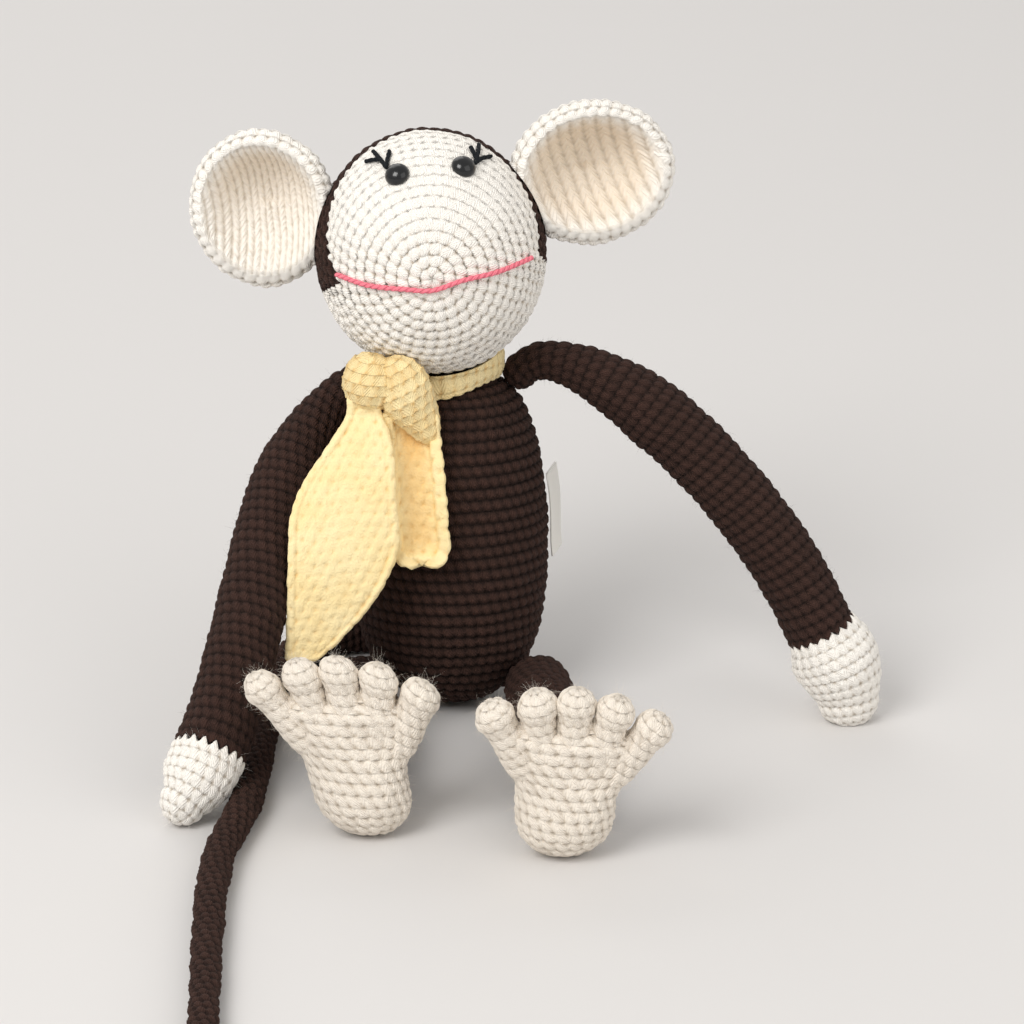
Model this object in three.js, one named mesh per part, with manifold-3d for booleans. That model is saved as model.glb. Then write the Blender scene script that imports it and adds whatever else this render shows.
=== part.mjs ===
// Sitting crochet monkey with long arms, ball toes, cupped ears and a tied scarf.
// Millimetres, +Z up, the monkey faces -Y. Its left side is +X.
import * as THREE from 'three';
import { mergeVertices } from 'three/addons/utils/BufferGeometryUtils.js';
import Module from 'manifold-3d';

const wasm = await Module();
wasm.setup();

// Yarn and clearances
const fabricWall = 2.4;        // one layer of double-knit yarn worked in single crochet
const sewnGap = 0.4;           // between two pieces that are sewn together
const fillGap = 0.35;          // between a skin and its stuffing
const socketGap = 0.2;         // round a limb's ball, before its facets are allowed for
const seatFlat = 0.5;          // how far the seat is pressed flat

// Body
const bodyHeight = 118;
const bodyRadius = 34.8;
const bodyWidest = 56;         // height of the widest round
const shoulderHeight = 93;     // where the body starts to close
const neckRadius = 13;
const neckRise = 12;           // neck tube above the body, trimmed by the head
const bodyLean = 8;            // degrees, leaning back

// Head
const headHalfWidth = 40;
const headHalfDepth = 41;
const headHalfHeight = 42.6;
const headForward = 12;        // head centre in front of or behind the seat
const headAside = -5.9;
const neckShows = 3.2;         // between the body's top and the head
const headCentreHeight = bodyHeight + neckShows + headHalfHeight;
const headPitch = 5.5;         // degrees, looking up
const headRoll = 6;            // degrees, its left ear higher
const headYaw = 2;
const hoodBrow = 90;           // degrees from the snout to the brown hood, over the brow
const hoodTempleRight = 57;
const hoodTempleLeft = 68;
const chinEdge = 104;          // degrees from the snout to the cream chin's last round
const hoodLowEdge = 16;        // degrees below the ears' level where the hood ends

// Eyes, lashes and mouth
const eyeRadius = 4.3;
const eyeDome = 3.1;
const eyeShank = 1.5;
const eyeShankLength = 8.5;
const washerRadius = 4.6;
const washerThickness = 1.3;
const lashYarn = 1.3;          // diameter
const mouthYarn = 1.9;         // diameter

// Ears
const earLayers = 5.6;         // two layers of fabric
const earCup = 10;
const earBack = 3;
const earYaw = 8;
const earFlex = 8;             // degrees each way

// Arms
const armRadius = 12.3;
const armTopRadius = 6.3;      // pinched where it is sewn on
const armLength = 186;
const leftHandAt = [0.7371, -0.0962];     // place on the ground, in arm lengths
const rightHandAt = [-0.4731, -0.5538];
const handLength = 32;
const handTipRadius = 8.2;
const handSwell = 1.6;
const elbowShare = 0.46;       // place of the elbow along the arm
const elbowBend = 28;          // degrees each way

// Legs and feet
const legRadius = 12.6;
const leftLegReach = 125.4;    // from the seat to the sole
const rightLegReach = 111.1;
const ankleRadius = 10.6;
const footLength = 64;
const heelHalfWidth = 16.5;
const ballHalfWidth = 25.5;
const heelHalfDepth = 11.5;
const ballHalfDepth = 7.5;
const toeRadius = 6.4;
const toeSpread = 25.5;        // half of the toe row's width
const toeArc = 6.5;            // how far the middle toe stands above the outer ones
const ankleTurn = 24;

// Tail
const tailRootRadius = 6.6;
const tailTipRadius = 4.6;
const tailBend = 26;

// Scarf
const scarfThickness = 3;
const loopHeight = 11;
const loopThickness = 4.6;
const knotWidth = 33;
const knotHeight = 27;
const knotDepth = 15;
const longEndLength = 79;
const longEndWidth = 37.4;
const shortEndLength = 43;
const shortEndWidth = 13.6;
const scarfLift = 50;          // degrees

// Side label
const labelLength = 31;
const labelWidth = 13;
const labelThickness = 0.9;

// Facets
const limbSides = 12;
const tailSides = 10;
const capSteps = 4;

const deg = THREE.MathUtils.degToRad;
const vec = (x, y, z) => new THREE.Vector3(x, y, z);
const mix = THREE.MathUtils.lerp;
const bump = THREE.MathUtils.smoothstep;

const yarnFinish = (color) => new THREE.MeshStandardMaterial({ color, roughness: 0.92, metalness: 0 });
const brownYarn = yarnFinish(0x3b2723);
const creamYarn = yarnFinish(0xe8e1d2);
const yellowYarn = yarnFinish(0xf1dd93);
const pinkYarn = yarnFinish(0xe5637a);
const blackYarn = yarnFinish(0x16181c);
const fibreFill = yarnFinish(0xf4f2ee);
const ribbon = yarnFinish(0xe6e1d6);
const eyePlastic = new THREE.MeshStandardMaterial({ color: 0x0d0e11, roughness: 0.12, metalness: 0 });
const washerPlastic = new THREE.MeshStandardMaterial({ color: 0xd9d9d6, roughness: 0.4, metalness: 0 });

const monkey = new THREE.Group();

function addMesh(group, name, geometry, material) {
  const mesh = new THREE.Mesh(geometry, material);
  mesh.name = name;
  group.add(mesh);
  return mesh;
}

// Booleans

function toSolid(geometry) {
  const bare = geometry.clone();
  bare.deleteAttribute('normal');
  bare.deleteAttribute('uv');
  const merged = mergeVertices(bare, 1e-4);
  return new wasm.Manifold(new wasm.Mesh({
    numProp: 3,
    vertProperties: Float32Array.from(merged.attributes.position.array),
    triVerts: Uint32Array.from(merged.index.array),
  }));
}

function toGeometry(solid) {
  const mesh = solid.getMesh();
  const geometry = new THREE.BufferGeometry();
  geometry.setAttribute('position', new THREE.BufferAttribute(mesh.vertProperties, 3));
  geometry.setIndex(new THREE.BufferAttribute(mesh.triVerts, 1));
  return geometry;
}

const cut = (geometry, ...cutters) =>
  toGeometry(cutters.reduce((solid, cutter) => solid.subtract(toSolid(cutter)), toSolid(geometry)));

const join = (geometry, ...others) =>
  toGeometry(others.reduce((solid, other) => solid.add(toSolid(other)), toSolid(geometry)));

// The same shape seen from another frame
const reframe = (geometry, from, to) =>
  geometry.clone().applyMatrix4(to.clone().invert().multiply(from));

// A closed surface from rings of points. A ring with one point is a pole; wrapped joins the last
// ring to the first.
function surface(rings, wrapped = false) {
  const points = [];
  const faces = [];
  const starts = rings.map((ring) => {
    const start = points.length / 3;
    ring.forEach((p) => points.push(p.x, p.y, p.z));
    return start;
  });
  const count = wrapped ? rings.length : rings.length - 1;
  for (let i = 0; i < count; i += 1) {
    const next = (i + 1) % rings.length;
    const [a, b] = [rings[i].length, rings[next].length];
    const [p, q] = [starts[i], starts[next]];
    for (let j = 0; j < Math.max(a, b) && a + b > 2; j += 1) {
      const k = (j + 1) % Math.max(a, b);
      if (a > 1) faces.push(p + j, p + k, b > 1 ? q + k : q);
      if (b > 1) faces.push(a > 1 ? p + j : p, q + k, q + j);
    }
  }
  const geometry = new THREE.BufferGeometry();
  geometry.setAttribute('position', new THREE.Float32BufferAttribute(points, 3));
  geometry.setIndex(faces);
  return geometry;
}

// A smooth line with a sliding frame that runs on straight past both ends
class Route {
  constructor(curve, steps = 240) {
    curve.arcLengthDivisions = steps * 2;
    this.curve = curve;
    this.steps = steps;
    this.length = curve.getLength();
    this.frames = curve.computeFrenetFrames(steps);
  }

  at(place) {
    const i = Math.round(THREE.MathUtils.clamp(place / this.length, 0, 1) * this.steps);
    const along = this.frames.tangents[i];
    const rest = place - (i / this.steps) * this.length;
    return {
      point: this.curve.getPointAt(i / this.steps).addScaledVector(along, rest),
      along,
      side: this.frames.normals[i],
      over: this.frames.binormals[i],
    };
  }

  // A ring of radius r at a place; with a hub, the ring keeps the frame of that joint
  ring(place, r, sides, hub = place) {
    const { point, along, side, over } = this.at(hub);
    const centre = point.clone().addScaledVector(along, place - hub);
    if (r < 1e-6) return [centre];
    return Array.from({ length: sides }, (_, j) => {
      const turn = (2 * Math.PI * j) / sides;
      return centre.clone().addScaledVector(side, r * Math.cos(turn))
        .addScaledVector(over, r * Math.sin(turn));
    });
  }
}

// Limbs: each piece starts in a ball round its joint and ends in a socket round the next ball

const socketRadius = (ball, sides) =>
  (ball + socketGap) / (Math.cos(Math.PI / sides) * Math.cos(Math.PI / 4 / capSteps));

function ballRings(route, place, r, sides) {
  return Array.from({ length: capSteps + 1 }, (_, i) => {
    const turn = (i / capSteps) * (Math.PI / 2);
    return route.ring(place - r * Math.cos(turn), i ? r * Math.sin(turn) : 0, sides, place);
  });
}

function tipRings(route, place, r, sides) {
  return Array.from({ length: capSteps + 1 }, (_, i) => {
    const turn = (i / capSteps) * (Math.PI / 2);
    return route.ring(place + r * Math.sin(turn), i < capSteps ? r * Math.cos(turn) : 0, sides);
  });
}

function tubeRings(route, from, to, steps, radius, sides) {
  return Array.from({ length: steps }, (_, i) => {
    const place = mix(from, to, (i + 1) / (steps + 1));
    return route.ring(place, radius(place), sides);
  });
}

// The rim and the seat of a socket, from radius outer in to radius inner
function socketRings(route, joint, ball, bevel, outer, inner, sides) {
  const round = socketRadius(ball, sides);
  const rim = round * Math.cos(deg(bevel));
  const seat = (r) => route.ring(joint - Math.sqrt(round * round - r * r), r, sides, joint);
  const rings = [];
  if (outer > rim) {
    rings.push(route.ring(joint - outer * Math.tan(deg(bevel)), outer, sides, joint));
    rings.push(seat(rim));
  } else {
    rings.push(seat(outer));
  }
  if (inner > 0) return [...rings, seat(inner)];
  const start = Math.min(rim, outer);
  return [...rings, ...[0.62, 0.3].map((share) => seat(start * share)), seat(0)];
}

// A stuffed sleeve with a ball at its start, open where the next ball sits in it
function sleeveSkin(route, from, joint, ball, bevel, radius, steps) {
  const inside = (place) => radius(place) - fabricWall;
  const outerEnd = radius(joint);
  const mouth = joint - outerEnd * Math.tan(deg(bevel));
  const inset = joint - socketRadius(ball, limbSides);
  return surface([
    ...ballRings(route, from, radius(from), limbSides),
    ...tubeRings(route, from, mouth, steps, radius, limbSides),
    ...socketRings(route, joint, ball, bevel, outerEnd, inside(joint), limbSides),
    ...tubeRings(route, from, inset, steps - 1, inside, limbSides).reverse(),
    ...ballRings(route, from, inside(from), limbSides).reverse(),
  ]);
}

function sleeveFill(route, from, joint, ball, bevel, radius, steps) {
  const inside = (place) => radius(place) - fabricWall - fillGap;
  const inset = joint - socketRadius(ball, limbSides);
  return surface([
    ...ballRings(route, from, inside(from), limbSides),
    ...tubeRings(route, from, inset, steps - 1, inside, limbSides),
    ...socketRings(route, joint, ball, bevel, inside(joint), 0, limbSides),
  ]);
}

// Frames of the torso and the head

const bodyTop = [
  new THREE.CubicBezierCurve(
    new THREE.Vector2(0, 0),
    new THREE.Vector2(bodyRadius * 0.74, 0),
    new THREE.Vector2(bodyRadius, bodyWidest * 0.36),
    new THREE.Vector2(bodyRadius, bodyWidest),
  ),
  new THREE.CubicBezierCurve(
    new THREE.Vector2(bodyRadius, bodyWidest),
    new THREE.Vector2(bodyRadius, shoulderHeight),
    new THREE.Vector2(bodyRadius * 0.8, bodyHeight - 2),
    new THREE.Vector2(neckRadius, bodyHeight),
  ),
];

const bodyOutline = [...bodyTop[0].getPoints(6), ...bodyTop[1].getPoints(7).slice(1)];

// Half-width of the body at a height on its own axis
function bodyHalfWidth(height) {
  const [low, high] = bodyTop;
  const curve = height < bodyWidest ? low : high;
  let [a, b] = [0, 1];
  for (let i = 0; i < 30; i += 1) {
    const half = (a + b) / 2;
    if (curve.getPoint(half).y < height) a = half;
    else b = half;
  }
  return curve.getPoint(a).x;
}

const lean = deg(bodyLean);
const lowest = bodyTop[0].getPoints(200).reduce((best, p) => {
  const drop = p.y * Math.cos(lean) - p.x * Math.sin(lean);
  return drop < best.drop ? { drop, back: p.x * Math.cos(lean) + p.y * Math.sin(lean) } : best;
}, { drop: 0, back: 0 });

const torsoFrame = new THREE.Matrix4().makeRotationX(-lean)
  .setPosition(0, 0, -(lowest.drop + seatFlat));

const headFrame = new THREE.Matrix4().makeRotationZ(deg(headYaw))
  .multiply(new THREE.Matrix4().makeRotationY(-deg(headRoll)))
  .multiply(new THREE.Matrix4().makeRotationX(-deg(headPitch)))
  .setPosition(headAside, headForward, headCentreHeight);

const world = new THREE.Matrix4();
const bodySides = 24;
const bodyFacet = bodyRadius * (1 - Math.cos(Math.PI / bodySides));

// Point and outward direction on the torso at a height on its axis and a turn from its left (+X)
function onBody(height, turn) {
  const step = 0.5;
  const slope = (bodyHalfWidth(height + step) - bodyHalfWidth(height - step)) / (2 * step);
  const out = vec(Math.cos(deg(turn)), Math.sin(deg(turn)), 0);
  const normal = vec(out.x, out.y, -slope).normalize().transformDirection(torsoFrame);
  const r = bodyHalfWidth(height);
  return { point: vec(out.x * r, out.y * r, height).applyMatrix4(torsoFrame), normal };
}

// Centre of a limb's ball that just clears the body, whose facets lie inside its true outline
const ballOnBody = (height, turn, ball) => {
  const { point, normal } = onBody(height, turn);
  return point.addScaledVector(normal, ball + sewnGap - bodyFacet);
};

// The same for a limb that lies on the ground: its ball touches both the body and the ground
function ballOnGround(turn, ball) {
  let [low, high] = [1, bodyWidest];
  for (let i = 0; i < 40; i += 1) {
    const half = (low + high) / 2;
    if (ballOnBody(half, turn, ball).z < ball) low = half;
    else high = half;
  }
  return ballOnBody(low, turn, ball);
}

// Torso

const upright = (profile, sides) => {
  const geometry = new THREE.LatheGeometry(profile, sides);
  return geometry.rotateX(Math.PI / 2);
};

const point2 = (r, z) => new THREE.Vector2(r, z);

// Outline moved straight outwards or inwards
function offsetOutline(points, by) {
  return points.map((p, i) => {
    const before = points[Math.max(i - 1, 0)];
    const after = points[Math.min(i + 1, points.length - 1)];
    const along = after.clone().sub(before).normalize();
    if (i === 0) along.set(1, 0);
    return point2(i ? Math.max(p.x + along.y * by, 0) : 0, p.y - along.x * by);
  });
}

const neckTop = bodyHeight + neckRise;

function bodySolid(by, top = neckTop) {
  const side = offsetOutline(bodyOutline, by);
  return upright([...side, point2(neckRadius + by, top), point2(0, top)], bodySides);
}

function headSolid(by, detail = 24) {
  return new THREE.SphereGeometry(1, detail, detail / 2)
    .scale(headHalfWidth + by, headHalfDepth + by, headHalfHeight + by);
}

// The facets of a round cutter lie inside its circle, so it is drawn this much larger
const facetSlack = 0.4;
const headClear = headSolid(sewnGap + facetSlack, 32);
const bodyClear = bodySolid(sewnGap + facetSlack);

const torso = new THREE.Group();
torso.applyMatrix4(torsoFrame);
monkey.add(torso);

function bodyShell() {
  const outer = [...bodyOutline, point2(neckRadius, neckTop)];
  const inner = offsetOutline(bodyOutline, -fabricWall);
  inner.push(point2(neckRadius - fabricWall, neckTop));
  const shell = upright([...outer, ...inner.reverse()], bodySides);
  const ground = new THREE.BoxGeometry(200, 200, 40).translate(0, 0, -20);
  return cut(
    shell,
    reframe(headClear, headFrame, torsoFrame),
    reframe(ground, world, torsoFrame),
  );
}

function bodyFill() {
  const inset = offsetOutline(bodyOutline, -fabricWall - fillGap);
  return upright([...inset, point2(0, inset.at(-1).y)], 16);
}

addMesh(torso, 'body_shell', bodyShell(), brownYarn);
addMesh(torso, 'body_stuffing', bodyFill(), fibreFill);

// Head: cream face and brown back, worked round from the snout

const head = new THREE.Group();
head.applyMatrix4(headFrame);
monkey.add(head);

// Point on the head: round is the angle from the snout, turn goes round the snout from the left ear
function onHead(round, turn, by = 0) {
  const ray = vec(
    Math.sin(deg(round)) * Math.cos(deg(turn)),
    -Math.cos(deg(round)),
    Math.sin(deg(round)) * Math.sin(deg(turn)),
  );
  const size = vec(headHalfWidth + by, headHalfDepth + by, headHalfHeight + by);
  const reach = 1 / ray.clone().divide(size).length();
  return ray.multiplyScalar(reach);
}

// Where cream turns to brown: an oval round the face, then back under the chin
function colourEdge(turn) {
  const height = Math.sin(deg(turn));
  const temple = Math.cos(deg(turn)) > 0 ? hoodTempleLeft : hoodTempleRight;
  const hood = mix(temple, hoodBrow, Math.max(height, 0));
  const below = bump(-height, Math.sin(deg(hoodLowEdge - 7)), Math.sin(deg(hoodLowEdge + 7)));
  return mix(hood, chinEdge, below);
}

const headTurns = Array.from({ length: 30 }, (_, j) => j * 12);

// A wedge out of the middle of the head that holds the face as far as the colour edge
function faceWedge(widen) {
  const spread = widen * THREE.MathUtils.RAD2DEG / headHalfWidth;
  const steps = 6;
  const ring = (share) => headTurns.map((turn) =>
    onHead((colourEdge(turn) + spread) * share, turn).multiplyScalar(1.4));
  return surface([
    [vec(0, 0, 0)],
    ...Array.from({ length: steps }, (_, i) => ring(1 - i / steps)),
    [onHead(0, 0).multiplyScalar(1.4)],
  ]);
}

const headHollow = () => cut(headSolid(0), headSolid(-fabricWall));
const faceShell = () => toGeometry(
  toSolid(headHollow()).intersect(toSolid(faceWedge(-sewnGap / 2))),
);
const headBackShell = () => cut(headHollow(), faceWedge(sewnGap / 2));

const eyes = [
  { side: 'right', round: 54.2, turn: 103.3 },
  { side: 'left', round: 58.6, turn: 66 },
];

// Turns a lathe about +Z so that it stands on the head at a place
function standOnHead(geometry, round, turn, by = 0) {
  const foot = onHead(round, turn, by);
  const size = vec(headHalfWidth, headHalfDepth, headHalfHeight);
  const normal = foot.clone().divide(size).divide(size).normalize();
  const spin = new THREE.Quaternion().setFromUnitVectors(vec(0, 0, 1), normal);
  return geometry.clone().applyQuaternion(spin).translate(foot.x, foot.y, foot.z);
}

const eyeProfile = (by) => [
  point2(0, -eyeShankLength - by),
  point2(eyeShank + by, -eyeShankLength - by),
  point2(eyeShank + by, sewnGap),
  point2(eyeRadius * 0.86 + by, sewnGap),
  point2(eyeRadius + by, sewnGap + 0.8),
  ...[0.3, 0.55, 0.8].map((share) => point2(
    eyeRadius * Math.cos(share * Math.PI / 2) + by,
    sewnGap + 0.8 + (eyeDome - 0.8) * Math.sin(share * Math.PI / 2),
  )),
  point2(0, sewnGap + eyeDome + by),
];

const shankHole = upright([
  point2(0, -eyeShankLength - 2),
  point2(eyeShank + fillGap, -eyeShankLength - 2),
  point2(eyeShank + fillGap, 3),
  point2(0, 3),
], 12);

const washerTop = -fabricWall - 1.1;   // the fabric is curved under the washer

const washer = (by) => upright([
  point2(eyeShank + 0.25 - by, washerTop - washerThickness - by),
  point2(washerRadius + by, washerTop - washerThickness - by),
  point2(washerRadius + by, washerTop + by),
  point2(eyeShank + 0.25 - by, washerTop + by),
  point2(eyeShank + 0.25 - by, washerTop - washerThickness - by),
], 16);

const washerRoom = upright([
  point2(0, -eyeShankLength - 1),
  point2(eyeShank + fillGap, -eyeShankLength - 1),
  point2(eyeShank + fillGap, washerTop - washerThickness - fillGap),
  point2(washerRadius + fillGap, washerTop - washerThickness - fillGap),
  point2(washerRadius + fillGap, 2),
  point2(0, 2),
], 12);

const atEyes = (geometry) => eyes.map((eye) => standOnHead(geometry, eye.round, eye.turn));

addMesh(head, 'face_shell', cut(faceShell(), ...atEyes(shankHole)), creamYarn);
addMesh(head, 'head_back_shell', headBackShell(), brownYarn);
addMesh(
  head,
  'head_stuffing',
  cut(headSolid(-fabricWall - fillGap - facetSlack, 18), ...atEyes(washerRoom)),
  fibreFill,
);
eyes.forEach((eye) => {
  const place = (geometry) => standOnHead(geometry, eye.round, eye.turn);
  addMesh(head, `eye_${eye.side}`, place(upright(eyeProfile(0), 12)), eyePlastic);
  addMesh(head, `eye_washer_${eye.side}`, place(washer(0)), washerPlastic);
});

// Yarn laid on the face along a list of places [round, turn]
function yarnOnHead(places, thickness, steps) {
  const lift = thickness / 2 + sewnGap;
  const curve = new THREE.CatmullRomCurve3(places.map(([round, turn]) => onHead(round, turn, lift)));
  const route = new Route(curve, 60);
  const r = thickness / 2;
  return surface([
    [route.at(0).point],
    ...Array.from({ length: steps + 1 }, (_, i) => route.ring((route.length * i) / steps, r, 6)),
    [route.at(route.length).point],
  ]);
}

// Each lash is three strands that share a root or cross
const strands = {
  right: [
    [[60.7, 107.8], [64.9, 106.2], [70.8, 104.1]],
    [[60.7, 107.8], [67.9, 109.4], [77.7, 111.6]],
    [[68.3, 109.9], [70.4, 112.8], [72.8, 116.4]],
  ],
  left: [
    [[63.2, 60.7], [71.7, 60.5], [81, 60.8]],
    [[63.2, 60.7], [69.2, 58], [75.3, 53.9]],
    [[67.4, 60.8], [71.5, 63.1], [74.3, 64.4]],
  ],
};

function lashes(side) {
  return join(...strands[side].map((places) => yarnOnHead(places, lashYarn, 3)));
}

addMesh(head, 'lashes_right', lashes('right'), blackYarn);
addMesh(head, 'lashes_left', lashes('left'), blackYarn);

const mouthPlaces = [
  [51.5, 177.5], [31.4, 183.2], [13, 197], [5.3, 268.9], [14.4, 349.5], [32.9, 356.1], [56.2, 358.5],
];
addMesh(head, 'mouth_strand', yarnOnHead(mouthPlaces, mouthYarn, 16), pinkYarn);

// Ears: two layers worked as a cupped disc, trimmed where they are sewn to the head

const ears = {
  left: { sign: 1, width: 58.5, height: 50.7, out: 58.2, up: 20.8 },
  right: { sign: -1, width: 51.5, height: 55.7, out: 56, up: 21 },
};

function earDisc(width, height) {
  const half = earLayers / 2;
  const cup = (share) => -earCup * (1 - share ** 2.6);
  const shares = [0.9, 0.75, 0.5, 0.25, 0];
  const front = shares.map((share) => point2(share, cup(share) + half));
  const back = shares.map((share) => point2(share, cup(share) - half)).reverse();
  const rim = [0.75, 0.5, 0.25].map((share) => {
    const turn = Math.PI * (0.5 - share);
    return point2(1 - (1 - Math.cos(turn)) * 0.1, half * Math.sin(turn) + cup(0.97));
  });
  return upright([...back, ...rim, ...front], 20)
    .scale(width / 2, height / 2, 1)
    .rotateX(Math.PI / 2);
}

for (const [side, ear] of Object.entries(ears)) {
  const disc = earDisc(ear.width, ear.height).rotateZ(ear.sign * deg(earYaw))
    .translate(ear.sign * ear.out, earBack, ear.up);
  const level = Math.sqrt(1 - (ear.up / headHalfHeight) ** 2);
  const root = vec(ear.sign * (headHalfWidth * level + sewnGap), earBack, ear.up);
  const cutters = [-earFlex, 0, earFlex].map((turn) => headClear.clone()
    .translate(-root.x, -root.y, -root.z)
    .rotateZ(deg(turn))
    .translate(root.x, root.y, root.z));
  addMesh(head, `ear_${side}`, cut(disc, ...cutters), creamYarn);
}

// Arms

// A bow from start to end whose length comes out as asked
function bowRoute(start, leave, leaveShare, end, arrive, length) {
  const bow = (reach) => new THREE.CubicBezierCurve3(
    start,
    start.clone().addScaledVector(leave, reach * leaveShare),
    end.clone().addScaledVector(arrive, -reach),
    end,
  );
  let [low, high] = [5, length];
  for (let i = 0; i < 40; i += 1) {
    const half = (low + high) / 2;
    if (bow(half).getLength() < length) low = half;
    else high = half;
  }
  return new Route(bow(low));
}

const arms = {
  left: {
    leave: vec(0.606, -0.239, 0.759),
    leaveShare: 0.482,
    hand: leftHandAt,
    arrive: vec(0.132, -0.082, -0.988),
    turn: 0,
  },
  right: {
    leave: vec(-0.882, 0.1, -0.461),
    leaveShare: 0.956,
    hand: rightHandAt,
    arrive: vec(-0.534, -0.539, -0.651),
    turn: 180,
  },
};

const shoulderOn = bodyHeight - 3.7;   // height of the seam on the body's axis

for (const [side, arm] of Object.entries(arms)) {
  const start = ballOnBody(shoulderOn, arm.turn, armTopRadius);
  const tip = vec(arm.hand[0] * armLength, arm.hand[1] * armLength, handTipRadius);
  const route = bowRoute(
    start,
    arm.leave.clone().normalize(),
    arm.leaveShare,
    tip,
    arm.arrive.clone().normalize(),
    armLength - handTipRadius,
  );
  const elbow = route.length * elbowShare;
  const wrist = route.length - (handLength - handTipRadius);
  const radius = (place) => mix(armTopRadius, armRadius, bump(place, 0, elbow * 0.72));
  const handRadius = (place) => {
    const share = (place - wrist) / (route.length - wrist);
    return mix(armRadius, handTipRadius, Math.max(share, 0) ** 1.8) + handSwell * Math.sin(Math.PI * share);
  };
  arm.route = route;
  arm.elbow = elbow;
  arm.wrist = wrist;

  const skin = sleeveSkin(route, 0, elbow, armRadius, elbowBend + 2, radius, 6);
  addMesh(monkey, `upper_arm_${side}`, skin, brownYarn);
  const fill = sleeveFill(route, 0, elbow, armRadius, elbowBend + 2, radius, 6);
  addMesh(monkey, `upper_arm_stuffing_${side}`, fill, fibreFill);

  const cuff = wrist - sewnGap / 2;
  const forearm = surface([
    ...ballRings(route, elbow, armRadius, limbSides),
    ...tubeRings(route, elbow, cuff, 4, () => armRadius, limbSides),
    route.ring(cuff, armRadius, limbSides),
    route.ring(cuff, armRadius - fabricWall, limbSides),
    ...tubeRings(route, elbow, cuff, 4, () => armRadius - fabricWall, limbSides).reverse(),
    ...ballRings(route, elbow, armRadius - fabricWall, limbSides).reverse(),
  ]);
  addMesh(monkey, `forearm_${side}`, forearm, brownYarn);

  const handStart = wrist + sewnGap / 2;
  const inHand = (place) => handRadius(place) - fabricWall;
  const inTip = handTipRadius - fabricWall;
  const hand = surface([
    route.ring(handStart, armRadius, limbSides),
    ...tubeRings(route, handStart, route.length, 3, handRadius, limbSides),
    ...tipRings(route, route.length, handTipRadius, limbSides),
    ...tipRings(route, route.length, inTip, limbSides).reverse(),
    ...tubeRings(route, handStart, route.length, 3, inHand, limbSides).reverse(),
    route.ring(handStart, armRadius - fabricWall, limbSides),
  ], true);
  addMesh(monkey, `hand_${side}`, hand, creamYarn);

  const fillRadius = (place) => (place > wrist ? inHand(place) : armRadius - fabricWall) - fillGap;
  const armFill = surface([
    ...ballRings(route, elbow, fillRadius(elbow), limbSides),
    ...tubeRings(route, elbow, cuff, 4, fillRadius, limbSides),
    route.ring(wrist, fillRadius(wrist), limbSides),
    ...tubeRings(route, handStart, route.length, 3, fillRadius, limbSides),
    ...tipRings(route, route.length, inTip - fillGap, limbSides),
  ]);
  addMesh(monkey, `forearm_stuffing_${side}`, armFill, fibreFill);
}

// Legs and feet

const legs = {
  left: { turn: -36, heel: vec(38.1, -leftLegReach, 0), toesAside: 5, slant: 0, footLean: -6 },
  right: { turn: -144, heel: vec(-25.4, -rightLegReach, 0), toesAside: 3, slant: -0.22, footLean: 2 },
};

function footSolid(leg, ankle) {
  const bottom = vec(leg.heel.x, leg.heel.y, 0);
  const tall = footLength - toeRadius;
  // Half-width, half-depth and setback of the sole at a share of the foot's height
  const halfWidth = (share) => mix(heelHalfWidth, ballHalfWidth, bump(share, 0.38, 0.76));
  const halfDepth = (share) => mix(heelHalfDepth, ballHalfDepth, bump(share, 0.2, 0.7));
  const pad = [[vec(0, 0, 0.2)]];
  const levels = [0.035, 0.1, 0.2, 0.34, 0.48, 0.58, 0.67, 0.72];
  for (const share of levels) {
    const round = Math.min(1, Math.sqrt(1 - (1 - Math.min(share / 0.24, 1)) ** 2));
    const [wide, deep] = [halfWidth(share) * round, halfDepth(share) * round];
    pad.push(Array.from({ length: 18 }, (_, j) => {
      const turn = (2 * Math.PI * j) / 18;
      return vec(wide * Math.cos(turn), deep * Math.sin(turn), share * tall);
    }));
  }
  pad.push([vec(0, 0, tall * 0.77)]);
  const toes = Array.from({ length: 5 }, (_, i) => {
    const share = i / 2 - 1;
    const centre = vec(share * toeSpread, -1, tall - toeArc * share * share - 0.5);
    const root = vec(share * toeSpread * 0.62, 0, tall * 0.6);
    const along = new Route(new THREE.LineCurve3(root, centre), 8);
    return surface([
      ...ballRings(along, 0, toeRadius * 0.85, 8),
      ...tipRings(along, along.length, toeRadius, 8),
    ]);
  });
  const slanted = new THREE.Matrix4().makeShear(0, 0, 0, 0, leg.slant, 0);
  const foot = join(surface(pad), ...toes)
    .applyMatrix4(slanted)
    .rotateY(deg(leg.toesAside))
    .rotateX(-deg(leg.footLean))
    .translate(bottom.x, bottom.y, 0);
  const stub = new THREE.CylinderGeometry(ankleRadius * 0.8, ankleRadius * 0.8, heelHalfDepth, limbSides)
    .translate(0, -heelHalfDepth / 2, 0);
  const ball = new THREE.SphereGeometry(ankleRadius, limbSides, 8);
  const lift = new THREE.Quaternion().setFromUnitVectors(vec(0, -1, 0), ankle.along);
  const link = join(stub, ball).applyQuaternion(lift)
    .translate(ankle.point.x, ankle.point.y, ankle.point.z);
  return join(foot, link);
}

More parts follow.
